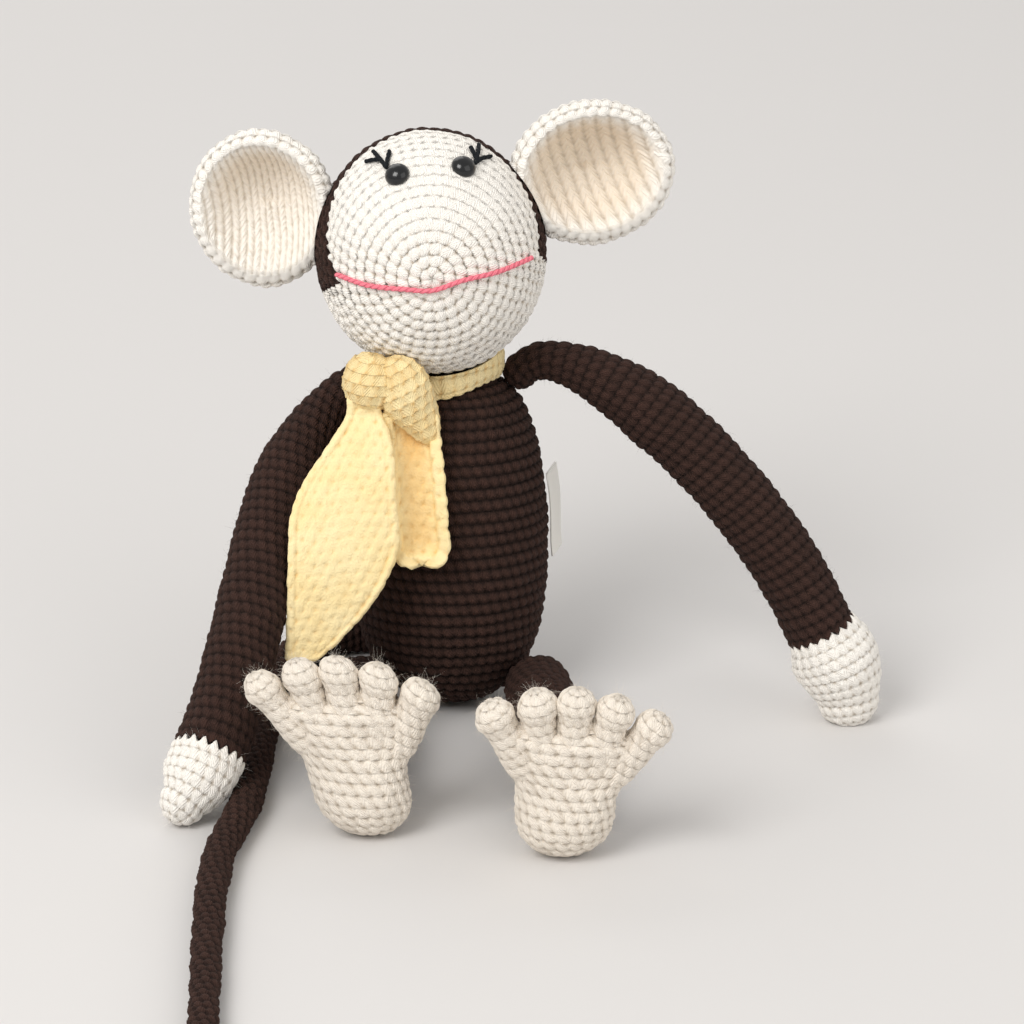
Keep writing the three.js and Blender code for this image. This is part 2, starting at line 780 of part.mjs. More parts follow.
for (const [side, leg] of Object.entries(legs)) {
  const hip = ballOnGround(leg.turn, legRadius);
  const ankleAt = leg.heel.clone().add(vec(0, heelHalfDepth + 3, legRadius + 1));
  const line = new THREE.LineCurve3(hip, ankleAt);
  const route = new Route(line, 60);
  const radius = (place) => mix(legRadius, ankleRadius + 0.6, bump(place, 0, route.length));
  leg.route = route;
  const skin = sleeveSkin(route, 0, route.length, ankleRadius, ankleTurn + 2, radius, 4);
  addMesh(monkey, `leg_${side}`, skin, brownYarn);
  const fill = sleeveFill(route, 0, route.length, ankleRadius, ankleTurn + 2, radius, 4);
  addMesh(monkey, `leg_stuffing_${side}`, fill, fibreFill);
  addMesh(monkey, `foot_${side}`, footSolid(leg, route.at(route.length)), creamYarn);
}

// Tail: laid along the ground, round the right hip and forwards

const tailRoot = ballOnGround(108, tailRootRadius);
const tailGround = [
  [-34, 41], [-54, 27], [-62, 2], [-64.5, -31], [-65.6, -62], [-66.4, -84], [-67.4, -99],
  [-70.6, -117], [-74, -137], [-75, -167], [-74, -206], [-72.6, -240], [-72, -264],
];
const tailPlaces = [tailRoot, ...tailGround.map(([x, y], i) =>
  vec(x, y, mix(tailRootRadius, tailTipRadius, (i + 1) / tailGround.length) + 0.2))];
const tailRoute = new Route(new THREE.CatmullRomCurve3(tailPlaces, false, 'centripetal'), 400);
const tailRadius = (place) => mix(tailRootRadius, tailTipRadius, place / tailRoute.length);
const tailJoints = [0, 0.36, 0.68].map((share) => share * tailRoute.length);

['tail_base', 'tail_middle', 'tail_tip'].forEach((name, i) => {
  const from = tailJoints[i];
  const joint = tailJoints[i + 1];
  const rings = [...ballRings(tailRoute, from, tailRadius(from), tailSides)];
  if (joint) {
    const mouth = joint - tailRadius(joint) * Math.tan(deg(tailBend + 2));
    rings.push(...tubeRings(tailRoute, from, mouth, i ? 5 : 10, tailRadius, tailSides));
    rings.push(...socketRings(
      tailRoute, joint, tailRadius(joint), tailBend + 2, tailRadius(joint), 0, tailSides,
    ));
  } else {
    rings.push(...tubeRings(tailRoute, from, tailRoute.length, 5, tailRadius, tailSides));
    rings.push(...tipRings(tailRoute, tailRoute.length, tailTipRadius, tailSides));
  }
  addMesh(monkey, name, surface(rings), brownYarn);
});

// Scarf: a band round the neck, a flat knot under the chin and two free ends

const knotCentre = vec(-neckRadius - 4.5, -neckRadius - 6, bodyHeight + 2);

const knotSolid = (by) => new THREE.SphereGeometry(1, 16, 10)
  .scale(knotWidth / 2 + by, knotDepth / 2 + by, knotHeight / 2 + by)
  .rotateY(deg(-8))
  .translate(knotCentre.x, knotCentre.y, knotCentre.z);

const inWorld = (geometry, frame) => reframe(geometry, frame, world);

function neckBand() {
  const middle = neckRadius + sewnGap + loopThickness / 2 + 1.4;
  const section = Array.from({ length: 9 }, (_, i) => {
    const turn = (2 * Math.PI * (i % 8)) / 8;
    return point2(
      middle + (loopThickness / 2) * Math.cos(turn),
      bodyHeight + 5.5 + (loopHeight / 2) * Math.sin(turn),
    );
  });
  const band = inWorld(upright(section, 24), torsoFrame);
  return cut(
    band,
    inWorld(headClear, headFrame),
    inWorld(bodyClear, torsoFrame),
    knotSolid(sewnGap),
  );
}

addMesh(monkey, 'scarf_band', neckBand(), yellowYarn);
addMesh(
  monkey,
  'scarf_knot',
  cut(knotSolid(0), inWorld(headClear, headFrame), inWorld(bodyClear, torsoFrame)),
  yellowYarn,
);

// A hanging strip of fabric: its centre line, half-width and bulge are functions of the share down
function hangingStrip(centre, halfWidth, bulge, rows, columns) {
  const side = (face, share) => Array.from({ length: columns + 1 }, (_, j) => {
    const across = (2 * j) / columns - 1;
    const edge = Math.abs(across) > 0.99 ? 0.6 : 1;
    return centre(share).add(vec(
      across * halfWidth(share),
      bulge(share, across) + face * edge * (scarfThickness / 2),
      0,
    ));
  });
  const rings = Array.from({ length: rows + 1 }, (_, i) => i / rows)
    .map((share) => [...side(-1, share).reverse(), ...side(1, share)]);
  const end = (share) => [centre(share).add(vec(0, bulge(share, 0), 0))];
  return surface([end(0), ...rings, end(1)]);
}

// The long end is a leaf: narrow at the knot, widest halfway, pointed at its tip
const longTop = knotCentre.z - 4;
const longCentre = (share) => vec(
  mix(-28.5, -35.4, bump(share, 0, 0.4)) - 52 * Math.max(share - 0.5, 0) ** 1.8,
  mix(-21.5, -51.5, bump(share, 0, 0.7)),
  longTop - share * longEndLength,
);
const longHalf = (share) =>
  (longEndWidth / 2) * Math.sin(Math.PI * mix(0.06, 0.93, share ** 1.12)) ** 0.8;
const longBulge = (share, across) => 9 * across * bump(share, 0.1, 0.6);

const shortTop = knotCentre.z - knotHeight / 2 - sewnGap;
const shortCentre = (share) => vec(
  mix(-10.1, -7.7, share),
  mix(-17.6, -30.4, share ** 0.7),
  shortTop - share * shortEndLength,
);
const shortHalf = (share) =>
  (shortEndWidth / 2) * (share > 0.95 ? 0.75 : mix(0.7, 1, bump(share, 0, 0.3)));
const shortBulge = (share, across) => 1.5 * (1 - across * across);

// The knot as the long end meets it while it lifts about its top
const longHinge = vec(0, longCentre(0).y, longTop - 2);
const knotClear = [0, 0.25, 0.5, 0.75, 1].map((share) => knotSolid(sewnGap)
  .translate(0, -longHinge.y, -longHinge.z)
  .rotateX(deg(scarfLift * share))
  .translate(0, longHinge.y, longHinge.z));
addMesh(
  monkey,
  'scarf_long_end',
  cut(hangingStrip(longCentre, longHalf, longBulge, 11, 4), ...knotClear),
  yellowYarn,
);
addMesh(
  monkey,
  'scarf_short_end',
  hangingStrip(shortCentre, shortHalf, shortBulge, 7, 3),
  yellowYarn,
);

// Side label: a bare folded ribbon sewn to the left side by its top edge

const labelSeat = onBody(83, 8);
const label = new THREE.BoxGeometry(labelThickness, labelWidth, labelLength)
  .translate(0, 0, -labelLength / 2)
  .rotateY(deg(-5));
const labelMesh = addMesh(monkey, 'side_label', label, ribbon);
labelMesh.position.copy(labelSeat.point).add(vec(sewnGap + labelThickness / 2 + 0.5, 0, 0));

// The origin is the middle of the pressed seat
monkey.position.set(0, -lowest.back, 0);

export default monkey;
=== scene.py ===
import math
import bpy
import numpy as np
from mathutils import Matrix


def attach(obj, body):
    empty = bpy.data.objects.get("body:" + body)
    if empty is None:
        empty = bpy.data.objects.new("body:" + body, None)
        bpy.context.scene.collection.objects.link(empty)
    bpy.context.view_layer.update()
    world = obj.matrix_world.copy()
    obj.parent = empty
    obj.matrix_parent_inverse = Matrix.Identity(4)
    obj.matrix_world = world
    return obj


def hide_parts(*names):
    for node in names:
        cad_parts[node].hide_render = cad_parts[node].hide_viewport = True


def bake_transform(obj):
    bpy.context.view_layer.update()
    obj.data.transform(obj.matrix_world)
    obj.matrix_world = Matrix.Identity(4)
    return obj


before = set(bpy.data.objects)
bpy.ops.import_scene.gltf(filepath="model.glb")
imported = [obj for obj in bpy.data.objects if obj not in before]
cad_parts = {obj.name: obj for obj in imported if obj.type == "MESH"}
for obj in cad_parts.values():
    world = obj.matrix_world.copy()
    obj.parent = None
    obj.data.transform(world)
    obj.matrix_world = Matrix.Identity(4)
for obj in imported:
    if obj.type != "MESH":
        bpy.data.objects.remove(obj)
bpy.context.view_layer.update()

# Sitting crochet monkey. The shapes below are worked out in millimetres, in the CAD frame:
# X is its left, Y its back and Z is up. addPiece turns them into metres.
mm = 0.001


# Camera, floor and light.

view = {
    "place": (0.022143, -1.481823, 0.667588),
    "lookDown": 22.0,
    "lens": 159.33,
    "floorHalf": 6.0,
    "floorColour": (0.70, 0.685, 0.675),
    "floorShade": (0.66, 0.645, 0.635),
    "lightColour": (1.0, 0.985, 0.965),
    "worldStrength": 0.62,
    "lampsLookAt": (0, 0, 0.1),
}
lamps = {
    "key": {"place": (-1.1, -1.5, 1.9), "size": 1.3, "power": 38.5},
    "fill": {"place": (1.6, -1.4, 1.2), "size": 1.8, "power": 9.0},
    "back": {"place": (-0.6, 1.6, 1.6), "size": 1.6, "power": 9.0},
}


def srgb(red, green, blue):
    # display values from 0 to 255 to the linear colour of a socket
    part = np.array([red, green, blue]) / 255
    linear = np.where(part < 0.04045, part / 12.92, ((part + 0.055) / 1.055) ** 2.4)
    return (*linear.tolist(), 1.0)


class Wire:
    # a socket that can stand in a sum
    def __init__(self, paint, socket):
        self.paint = paint
        self.socket = socket

    def math(self, operation, *others):
        # one Math node on this value and the others
        return self.paint.node("ShaderNodeMath", {"operation": operation},
                               dict(enumerate([self, *others])))

    def __add__(self, other):
        return self.math("ADD", other)

    def __sub__(self, other):
        return self.math("SUBTRACT", other)

    def __rsub__(self, other):
        return self.paint.node("ShaderNodeMath", {"operation": "SUBTRACT"}, {0: other, 1: self})

    def __mul__(self, other):
        return self.math("MULTIPLY", other)

    __radd__ = __add__
    __rmul__ = __mul__


class Paint:
    # the nodes of one material
    def __init__(self, name):
        self.material = bpy.data.materials.new(name)
        self.material.use_nodes = True
        self.tree = self.material.node_tree
        self.tree.nodes.clear()

    def node(self, kind, settings=None, sockets=None, out=0):
        # settings are set first, then the sockets' values or links; gives back one output
        made = self.tree.nodes.new(kind)
        for key, value in (settings or {}).items():
            setattr(made, key, value)
        for key, value in (sockets or {}).items():
            if isinstance(value, Wire):
                self.tree.links.new(value.socket, made.inputs[key])
            else:
                made.inputs[key].default_value = value
        return Wire(self, made.outputs[out]) if made.outputs else None

    def mix(self, share, first, second):
        # from the first colour to the second
        return self.node("ShaderNodeMix", {"data_type": "RGBA"},
                         {0: share, 6: first, 7: second}, out=2)

    def attribute(self, name):
        # a value stored on the mesh's points
        return self.node("ShaderNodeAttribute", {"attribute_name": name}, out=2)

    def noise(self, place, scale, detail=2.0):
        # cloudy values between 0 and 1
        return self.node("ShaderNodeTexNoise", {},
                         {"Vector": place, "Scale": scale, "Detail": detail})

    def objectPlace(self):
        # Object coordinates, so that a pattern stays on its piece
        return self.node("ShaderNodeTexCoord", out=3)

    def finish(self, sockets):
        # closes the material with one surface
        surface = self.node("ShaderNodeBsdfPrincipled", {}, sockets)
        self.node("ShaderNodeOutputMaterial", {}, {"Surface": surface})
        return self.material


yarnGrain = {"mottle": 55.0, "fibre": 1300.0, "haze": 420.0, "ragged": 0.35, "bump": 0.0006,
             "roughness": 0.92, "sheenRoughness": 0.45, "specular": 0.25}


def yarnPaint(name, look):
    # wool or cotton: paler on the strands and darker in the grooves between them as painted shade,
    # mottled, with fine twisted fibres, and tinted by the tone attribute as painted shade and
    # painted bounce light
    paint = Paint(name)
    place = paint.objectPlace()
    relief = paint.attribute("relief")
    twist = paint.attribute("twist").math("SINE")
    mottle = paint.noise(place, yarnGrain["mottle"])
    fibre = paint.noise(place, yarnGrain["fibre"], 4.0)
    haze = paint.noise(place, yarnGrain["haze"], 3.0)
    # painted shade: depth runs from 0 in the grooves and holes between stitches, where the relief
    # is low, to 1 on the strands
    depth = paint.node("ShaderNodeMapRange", {"interpolation_type": "SMOOTHSTEP"},
                       {"Value": relief + (haze - 0.5) * yarnGrain["ragged"],
                        "From Min": look["dark"], "From Max": look["full"],
                        "To Min": 0.0, "To Max": 1.0})
    colour = paint.mix((mottle - 0.5) * look["mottle"] + 0.35,
                       srgb(*look["colour"]), srgb(*look["shade"]))
    # painted shade and painted bounce light: the tone attribute mixes in a darker, warmer tint, in
    # the ears' cups and the scarf's curl as shade and on the feet as bounce light
    colour = paint.mix(paint.attribute("tone"), colour, srgb(*look["shadeAndBounceTint"]))
    # painted shade: where depth is low the colour is mixed towards the dark colour of the grooves
    colour = paint.mix(depth, srgb(*look["grooveShade"]), colour)
    colour = paint.mix((fibre * 0.6 + twist * 0.12) * look["fleck"], colour, srgb(*look["light"]))
    bump = paint.node("ShaderNodeBump", {}, {
        "Strength": look["bump"], "Distance": yarnGrain["bump"],
        "Height": fibre * 0.8 + haze * 0.7 + twist * 0.22,
    })
    return paint.finish({
        "Base Color": colour, "Roughness": yarnGrain["roughness"], "Normal": bump,
        "Sheen Weight": look["sheen"], "Sheen Roughness": yarnGrain["sheenRoughness"],
        "Sheen Tint": srgb(*look["light"]), "Specular IOR Level": yarnGrain["specular"],
    })


# in each yarn the colour of the grooves is painted shade, full at a relief of dark and gone at a
# relief of full, and the darker, warmer tint is painted shade in the ears' cups and the scarf's
# curl and painted bounce light on the feet
yarnLooks = {
    "brown": {"colour": (66, 44, 37), "grooveShade": (9, 3, 2), "shade": (48, 29, 23),
              "shadeAndBounceTint": (72, 45, 34), "light": (104, 77, 66), "dark": -0.1, "full": 1.1,
              "mottle": 0.7, "fleck": 0.36, "bump": 1.0, "sheen": 0.04},
    "cream": {"colour": (255, 251, 244), "grooveShade": (180, 162, 138), "shade": (251, 244, 233),
              "shadeAndBounceTint": (234, 216, 192), "light": (255, 254, 251), "dark": -0.1, "full": 0.6,
              "mottle": 0.5, "fleck": 0.4, "bump": 0.8, "sheen": 0.12},
    "yellow": {"colour": (255, 236, 184), "grooveShade": (226, 180, 104), "shade": (252, 220, 150),
               "shadeAndBounceTint": (232, 184, 106), "light": (255, 246, 212), "dark": -0.1, "full": 0.75,
               "mottle": 1.6, "fleck": 0.4, "bump": 0.8, "sheen": 0.12},
    "pink": {"colour": (252, 134, 150), "grooveShade": (206, 84, 104), "shade": (246, 118, 138),
             "shadeAndBounceTint": (240, 108, 128), "light": (253, 172, 180), "dark": 0.1, "full": 0.7,
             "mottle": 0.4, "fleck": 0.4, "bump": 0.6, "sheen": 0.15},
    "black": {"colour": (22, 26, 30), "grooveShade": (8, 8, 10), "shade": (16, 20, 22),
              "shadeAndBounceTint": (16, 20, 22), "light": (48, 54, 60), "dark": 0.1, "full": 0.7,
              "mottle": 0.4, "fleck": 0.3, "bump": 0.6, "sheen": 0.08},
}
yarns = {key: yarnPaint(f"{key}Yarn", look) for key, look in yarnLooks.items()}


def plainPaint(name, colour, roughness, grain, scale=900.0, coat=0.0):
    # moulded plastic with a faint grain
    paint = Paint(name)
    place = paint.objectPlace()
    grains = paint.noise(place, scale, 3.0)
    tone = paint.mix(grains * grain, srgb(*colour), srgb(*[part * 0.82 for part in colour]))
    bump = paint.node("ShaderNodeBump", {},
                      {"Strength": grain, "Distance": 0.0002, "Height": grains})
    return paint.finish({"Base Color": tone, "Roughness": roughness, "Normal": bump,
                         "Coat Weight": coat, "Coat Roughness": 0.04})


eyeGloss = plainPaint("eyeGloss", (8, 9, 12), 0.2, 0.03, 300.0, 0.2)
washerPlastic = plainPaint("washerPlastic", (217, 217, 214), 0.42, 0.1)


def ribbonPaint():
    # plain-weave tape: fine threads both ways
    paint = Paint("ribbonWeave")
    place = paint.objectPlace()
    threads = {"Vector": place, "Scale": 420.0}
    warp = paint.node("ShaderNodeTexWave", {"bands_direction": "Z"}, threads)
    weft = paint.node("ShaderNodeTexWave", {"bands_direction": "Y"}, threads)
    weave = warp * weft
    colour = paint.mix(weave * 0.5, srgb(248, 245, 238), srgb(255, 254, 250))
    bump = paint.node("ShaderNodeBump", {}, {"Strength": 0.35, "Distance": 0.0003, "Height": weave})
    return paint.finish({"Base Color": colour, "Roughness": 0.8, "Normal": bump,
                         "Sheen Weight": 0.1})


ribbonWeave = ribbonPaint()


def buildStage():
    # the photograph's view, a plain pale floor and three soft lamps
    camera = bpy.data.objects.new("camera", bpy.data.cameras.new("camera"))
    camera.data.lens = view["lens"]
    camera.data.sensor_width = 36.0
    camera.data.clip_end = 50.0
    camera.location = view["place"]
    camera.rotation_euler = (math.radians(90 - view["lookDown"]), 0, 0)
    bpy.context.scene.collection.objects.link(camera)
    bpy.context.scene.camera = camera

    mesh = bpy.data.meshes.new("floor")
    half = view["floorHalf"]
    corners = [(-half, -half, 0), (half, -half, 0), (half, half, 0), (-half, half, 0)]
    mesh.from_pydata(corners, [], [(0, 1, 2, 3)])
    floor = bpy.data.objects.new("floor", mesh)
    bpy.context.scene.collection.objects.link(floor)
    paint = Paint("floorPaint")
    speck = paint.noise(paint.objectPlace(), 30.0)
    pale = paint.mix(speck * 0.1, (*view["floorColour"], 1), (*view["floorShade"], 1))
    mesh.materials.append(paint.finish({"Base Color": pale, "Roughness": 0.9,
                                        "Specular IOR Level": 0.2}))

    for name, lamp in lamps.items():
        light = bpy.data.lights.new(name, "AREA")
        light.size = lamp["size"]
        light.energy = lamp["power"]
        light.color = view["lightColour"]
        holder = bpy.data.objects.new(name, light)
        holder.location = lamp["place"]
        toward = np.array(view["lampsLookAt"]) - np.array(lamp["place"])
        toward = toward / np.linalg.norm(toward)
        side = np.cross(toward, [0, 0, 1])
        side = side / np.linalg.norm(side)
        aim = Matrix(np.stack([side, np.cross(side, toward), -toward], 1).tolist())
        holder.rotation_euler = aim.to_euler()
        bpy.context.scene.collection.objects.link(holder)

    world = bpy.data.worlds.new("softLight")
    bpy.context.scene.world = world
    world.use_nodes = True
    sky = world.node_tree.nodes["Background"]
    sky.inputs[0].default_value = (*view["lightColour"], 1)
    sky.inputs[1].default_value = view["worldStrength"]
    bpy.context.scene.view_settings.view_transform = "Standard"


buildStage()
print("camera, floor and light are in")


# Grids of points, and the stitches on them.

def rotation(axis, degrees):
    # a turn about one axis as a matrix of three by three
    return np.array(Matrix.Rotation(math.radians(degrees), 3, axis))


def mix(first, second, share):
    # from first to second in proportion to share
    return first + (second - first) * share


def smooth(value, low, high):
    # 0 below low, 1 above high, and 3 s^2 - 2 s^3 of the share s between them
    share = np.clip((value - low) / (high - low), 0, 1)
    return share * share * (3 - 2 * share)


def unit(vectors):
    # vectors over their own lengths
    return vectors / np.maximum(np.linalg.norm(vectors, axis=-1, keepdims=True), 1e-9)


def bezier(corners, count=241):
    # cubic curve through the first and the last of four corners
    share = np.linspace(0, 1, count)[:, None]
    weights = [(1 - share) ** 3, 3 * share * (1 - share) ** 2,
               3 * share ** 2 * (1 - share), share ** 3]
    return sum(weight * np.array(corner, float) for weight, corner in zip(weights, corners))


def lengths(points):
    # distance travelled along a list of points
    return np.concatenate([[0], np.cumsum(np.linalg.norm(np.diff(points, axis=0), axis=1))])


def spread(points, step):
    # the same line with points at equal steps
    travelled = lengths(points)
    places = np.linspace(0, travelled[-1], max(int(travelled[-1] / step), 3) + 1)
    return np.stack([np.interp(places, travelled, column) for column in points.T], 1)


def turnsAround(columns):
    # shares of a full turn at which the columns of a grid stand
    return np.arange(columns) / columns


def revolve(across, deep, up, turns):
    # rings: across times the cosine, deep times the sine of each turn, all at the height up
    angle = 2 * np.pi * turns
    return np.stack(np.broadcast_arrays(across * np.cos(angle), deep * np.sin(angle), up), -1)


def outward(points):
    # unit normals of a grid that closes on itself sideways and ends in a pole at both ends
    around = np.roll(points, -1, 1) - np.roll(points, 1, 1)
    along = np.gradient(points, axis=0)
    normal = np.cross(around, along)
    normal[0] = normal[1].mean(0)
    normal[-1] = normal[-2].mean(0)
    return unit(normal)


def stitchShape(across, up, look):
    # one stitch: a plump bead, a raised cosine across that leans over, split a little down its
    # upper half like a V. It stands in a row that follows a sine, so that its edges sink, with a
    # bell-shaped hole where two stitches and two rows meet
    leaning = across + look["lean"] * up
    offset = np.abs(leaning - np.floor(leaning) - 0.5)
    bead = (0.5 + 0.5 * np.cos(2 * np.pi * offset)) ** 0.55
    split = np.exp(-(offset / 0.1) ** 2) * smooth(up, 0.25, 0.8)
    row = mix(look["floor"], 1, np.sin(np.pi * np.clip(up, 0, 1)) ** look["rowShape"])
    foot = np.minimum(up, 1 - up)
    hole = np.exp(-((0.5 - offset) / 0.17) ** 2 - (foot / 0.22) ** 2)
    twist = 2 * np.pi * (up * 1.5 + offset * 3.0) * 1.6
    height = row * (1 - look["bead"] + look["bead"] * bead)
    return height - look["hole"] * hole - look["split"] * split, twist


def ribShape(across, up, strands):
    # upright columns of one or two strands, each a raised cosine across, beaded by a cosine once
    # for each row
    offset = np.abs(across - np.floor(across) - 0.5)
    wave = 0.5 + 0.5 * np.cos(2 * np.pi * strands * (offset - 0.5 + 0.5 / strands))
    strand = mix(0.3, 1, wave ** 0.7)
    bead = 0.84 + 0.16 * np.cos(2 * np.pi * (up + offset))
    return strand * bead, 2 * np.pi * (up * 2.2 + offset * 3.0)


def crochet(points, along, girth, turns, look, seed=1, normal=None, worn=0.0):
    # raises rows of stitches on a smooth grid: along is the distance across the rows, girth is
    # (distances, lengths round the piece there) and gives each row its count, turns is the share
    # of the way round, and worn is how far the stitches are rubbed flat. A relief of 0.66 stays on
    # the grid, but for the lumps
    normal = outward(points) if normal is None else normal
    along = np.broadcast_to(along if np.ndim(along) == 2 else along[:, None], points.shape[:2])
    rowPlace = along / look["row"]
    row = np.floor(rowPlace).astype(int)
    rows = row.max() + 1
    middles = (np.arange(rows) + 0.5) * look["row"]
    counts = np.maximum(np.round(np.interp(middles, girth[0], girth[1]) / look["stitch"]), 5)
    draw = np.random.default_rng(seed)
    uneven = draw.random((rows, 512))
    shifts = draw.random(rows) * 0.24 + np.arange(rows) * look["slip"]
    across = turns * counts[row] + shifts[row]
    height, twist = stitchShape(across, rowPlace - row, look)
    cell = np.floor(across).astype(int) % 512
    height = mix(height * (1 - look["uneven"] * uneven[row, cell]), 0.75, worn)
    # the stuffing is uneven: a product of three slow waves
    x, y, z = np.moveaxis(points, -1, 0)
    lumps = look["lump"] * (np.sin(x * 0.21 + seed) * np.sin(y * 0.19 + 2.1 * seed)
                            * np.sin(z * 0.23 + 0.7 * seed))
    raised = points + normal * ((height - 0.66) * look["depth"] + lumps)[..., None]
    return raised, height, twist


# row and stitch are a stitch's height and width in millimetres, depth is how far it is raised
stitchLooks = {
    "body": {"row": 4.12, "stitch": 4.1, "slip": 0.42, "depth": 1.7, "rowShape": 0.7, "floor": 0.1,
             "bead": 0.5, "split": 0.16, "hole": 0.4, "lean": 0.3, "uneven": 0.2, "lump": 0.5},
    "head": {"row": 4.12, "stitch": 4.1, "slip": 0.42, "depth": 1.35, "rowShape": 0.6, "floor": 0.5,
             "bead": 0.5, "split": 0.1, "hole": 0.42, "lean": 0.3, "uneven": 0.2, "lump": 0.4},
    "limb": {"row": 4.1, "stitch": 3.9, "slip": 0.3, "depth": 1.35, "rowShape": 0.7, "floor": 0.42,
             "bead": 0.5, "split": 0.2, "hole": 0.42, "lean": 0.4, "uneven": 0.25, "lump": 0.4},
    "hand": {"row": 4.0, "stitch": 3.9, "slip": 0.3, "depth": 1.2, "rowShape": 0.6, "floor": 0.6,
             "bead": 0.45, "split": 0.1, "hole": 0.4, "lean": 0.3, "uneven": 0.3, "lump": 0.4},
    "foot": {"row": 4.0, "stitch": 4.0, "slip": 0.42, "depth": 1.4, "rowShape": 0.6, "floor": 0.62,
             "bead": 0.5, "split": 0.16, "hole": 0.42, "lean": 0.45, "uneven": 0.45, "lump": 0.7},
    "toe": {"row": 4.0, "stitch": 4.0, "slip": 0.5, "depth": 1.0, "rowShape": 0.6, "floor": 0.7,
            "bead": 0.42, "split": 0.12, "hole": 0.36, "lean": 0.4, "uneven": 0.45, "lump": 0.5},
    "tail": {"row": 3.9, "stitch": 3.7, "slip": 0.3, "depth": 1.7, "rowShape": 0.7, "floor": 0.3,
             "bead": 0.55, "split": 0.16, "hole": 0.4, "lean": 0.3, "uneven": 0.22, "lump": 0.3},
    "rim": {"row": 4.2, "stitch": 4.1, "slip": 0.12, "depth": 1.6, "rowShape": 0.6, "floor": 0.7,
            "bead": 0.5, "split": 0.1, "hole": 0.34, "lean": 0.2, "uneven": 0.3, "lump": 0.3},
    "knot": {"row": 3.8, "stitch": 3.8, "slip": 0.5, "depth": 1.1, "rowShape": 0.7, "floor": 0.72,
             "bead": 0.45, "split": 0.0, "hole": 0.4, "lean": 0.15, "uneven": 0.5, "lump": 0.8},
    "scarf": {"row": 4.1, "stitch": 4.1, "slip": 0.5, "depth": 1.0, "rowShape": 1.2, "floor": 0.84,
              "bead": 0.26, "split": 0.0, "hole": 0.42, "lean": 0.6, "uneven": 0.4, "lump": 0.5},
}


def shell(points, relief, twist, tone=0.0):
    # a closed skin over a grid: its first and last rows shrink to a pole
    rows, columns = points.shape[:2]
    tone = np.broadcast_to(tone, (rows, columns))
    place = np.concatenate([[points[0].mean(0)], points[1:-1].reshape(-1, 3), [points[-1].mean(0)]])
    values = [np.concatenate([[one[0].mean()], one[1:-1].ravel(), [one[-1].mean()]])
              for one in (relief, twist, tone)]
    index = 1 + np.arange((rows - 2) * columns).reshape(rows - 2, columns)
    beside = np.roll(index, -1, 1)
    quads = np.stack([index[:-1], beside[:-1], beside[1:], index[1:]], -1).reshape(-1, 4)
    first = np.stack([np.zeros(columns, int), beside[0], index[0]], -1)
    last = np.stack([index[-1], beside[-1], np.full(columns, len(place) - 1)], -1)
    fans = np.concatenate([first, last])
    corners = np.concatenate([quads[:, :3], quads[:, [0, 2, 3]], fans])
    a, b, c = [place[corners[:, k]] - place.mean(0) for k in range(3)]
    if (a * np.cross(b, c)).sum() < 0:
        quads, fans = quads[:, ::-1], fans[:, ::-1]
    return place, *values, quads, fans


def addPiece(name, shells, material):
    # one mesh of one or more closed shells, with relief, twist and tone for its yarn's colours
    starts = np.cumsum([0] + [len(one[0]) for one in shells])
    place, relief, twist, tone = [np.concatenate([one[k] for one in shells]) for k in range(4)]
    quads, fans = [np.concatenate([one[k] + start for one, start in zip(shells, starts)])
                   for k in (4, 5)]
    mesh = bpy.data.meshes.new(name)
    mesh.vertices.add(len(place))
    mesh.vertices.foreach_set("co", (place * mm).ravel())
    mesh.loops.add(quads.size + fans.size)
    loops = np.concatenate([quads.ravel(), fans.ravel()])
    mesh.loops.foreach_set("vertex_index", loops.astype(np.int32))
    begins = np.concatenate([np.arange(len(quads)) * 4, quads.size + np.arange(len(fans)) * 3])
    mesh.polygons.add(len(begins))
    mesh.polygons.foreach_set("loop_start", begins.astype(np.int32))
    mesh.update(calc_edges=True)
    mesh.shade_smooth()
    for key, values in {"relief": relief, "twist": twist, "tone": tone}.items():
        field = mesh.attributes.new(key, "FLOAT", "POINT")
        field.data.foreach_set("value", values.astype(np.float32))
    piece = bpy.data.objects.new(name, mesh)
    bpy.context.scene.collection.objects.link(piece)
    mesh.materials.append(material)
    return piece


def fuzz(place, look, seed, tone=0.0):
    # loose fibres that stand off a skin: each points away from the middle of the skin within 9 mm
    # of its root, bends like a parabola, and is a three-sided tube of three rings and a tip
    draw = np.random.default_rng(seed)
    root = place[draw.integers(0, len(place), look["hairs"])]
    near = place[::7]
    centre = np.array([near[np.linalg.norm(near - point, axis=1) < 9].mean(0) for point in root])
    aim = unit(unit(root - centre) + draw.normal(0, 0.45, root.shape))
    bend = unit(draw.normal(0, 1, root.shape))
    reach = look["reach"] * draw.gamma(6.0, 0.166, len(root))[:, None, None]
    step = np.array([-0.1, 0.4, 0.75, 1.0])[:, None]
    line = root[:, None] + reach * (aim[:, None] * step + 0.6 * bend[:, None] * step ** 2)
    side = unit(np.cross(aim, bend))
    over = np.cross(aim, side)
    turn = np.radians([0, 120, 240])
    ring = np.cos(turn)[:, None] * side[:, None] + np.sin(turn)[:, None] * over[:, None]
    taper = np.array([1.0, 0.8, 0.6])[:, None, None]
    rings = line[:, :3, None] + ring[:, None] * look["thickness"] / 2 * taper
    corners = np.concatenate([rings.reshape(len(root), 9, 3), line[:, 3:]], 1)
    corners = corners[corners[..., 2].min(1) > 0.4]
    start = np.arange(len(corners))[:, None, None] * 10
    quads = np.array([[k, (k + 1) % 3, (k + 1) % 3 + 3, k + 3] for k in range(3)])
    quads = (start + np.concatenate([quads, quads + 3])).reshape(-1, 4)
    fans = (start + np.array([[0, 2, 1], [6, 7, 9], [7, 8, 9], [8, 6, 9]])).reshape(-1, 3)
    flat = np.ones(len(corners) * 10)
    return corners.reshape(-1, 3), flat, flat, flat * tone, quads, fans


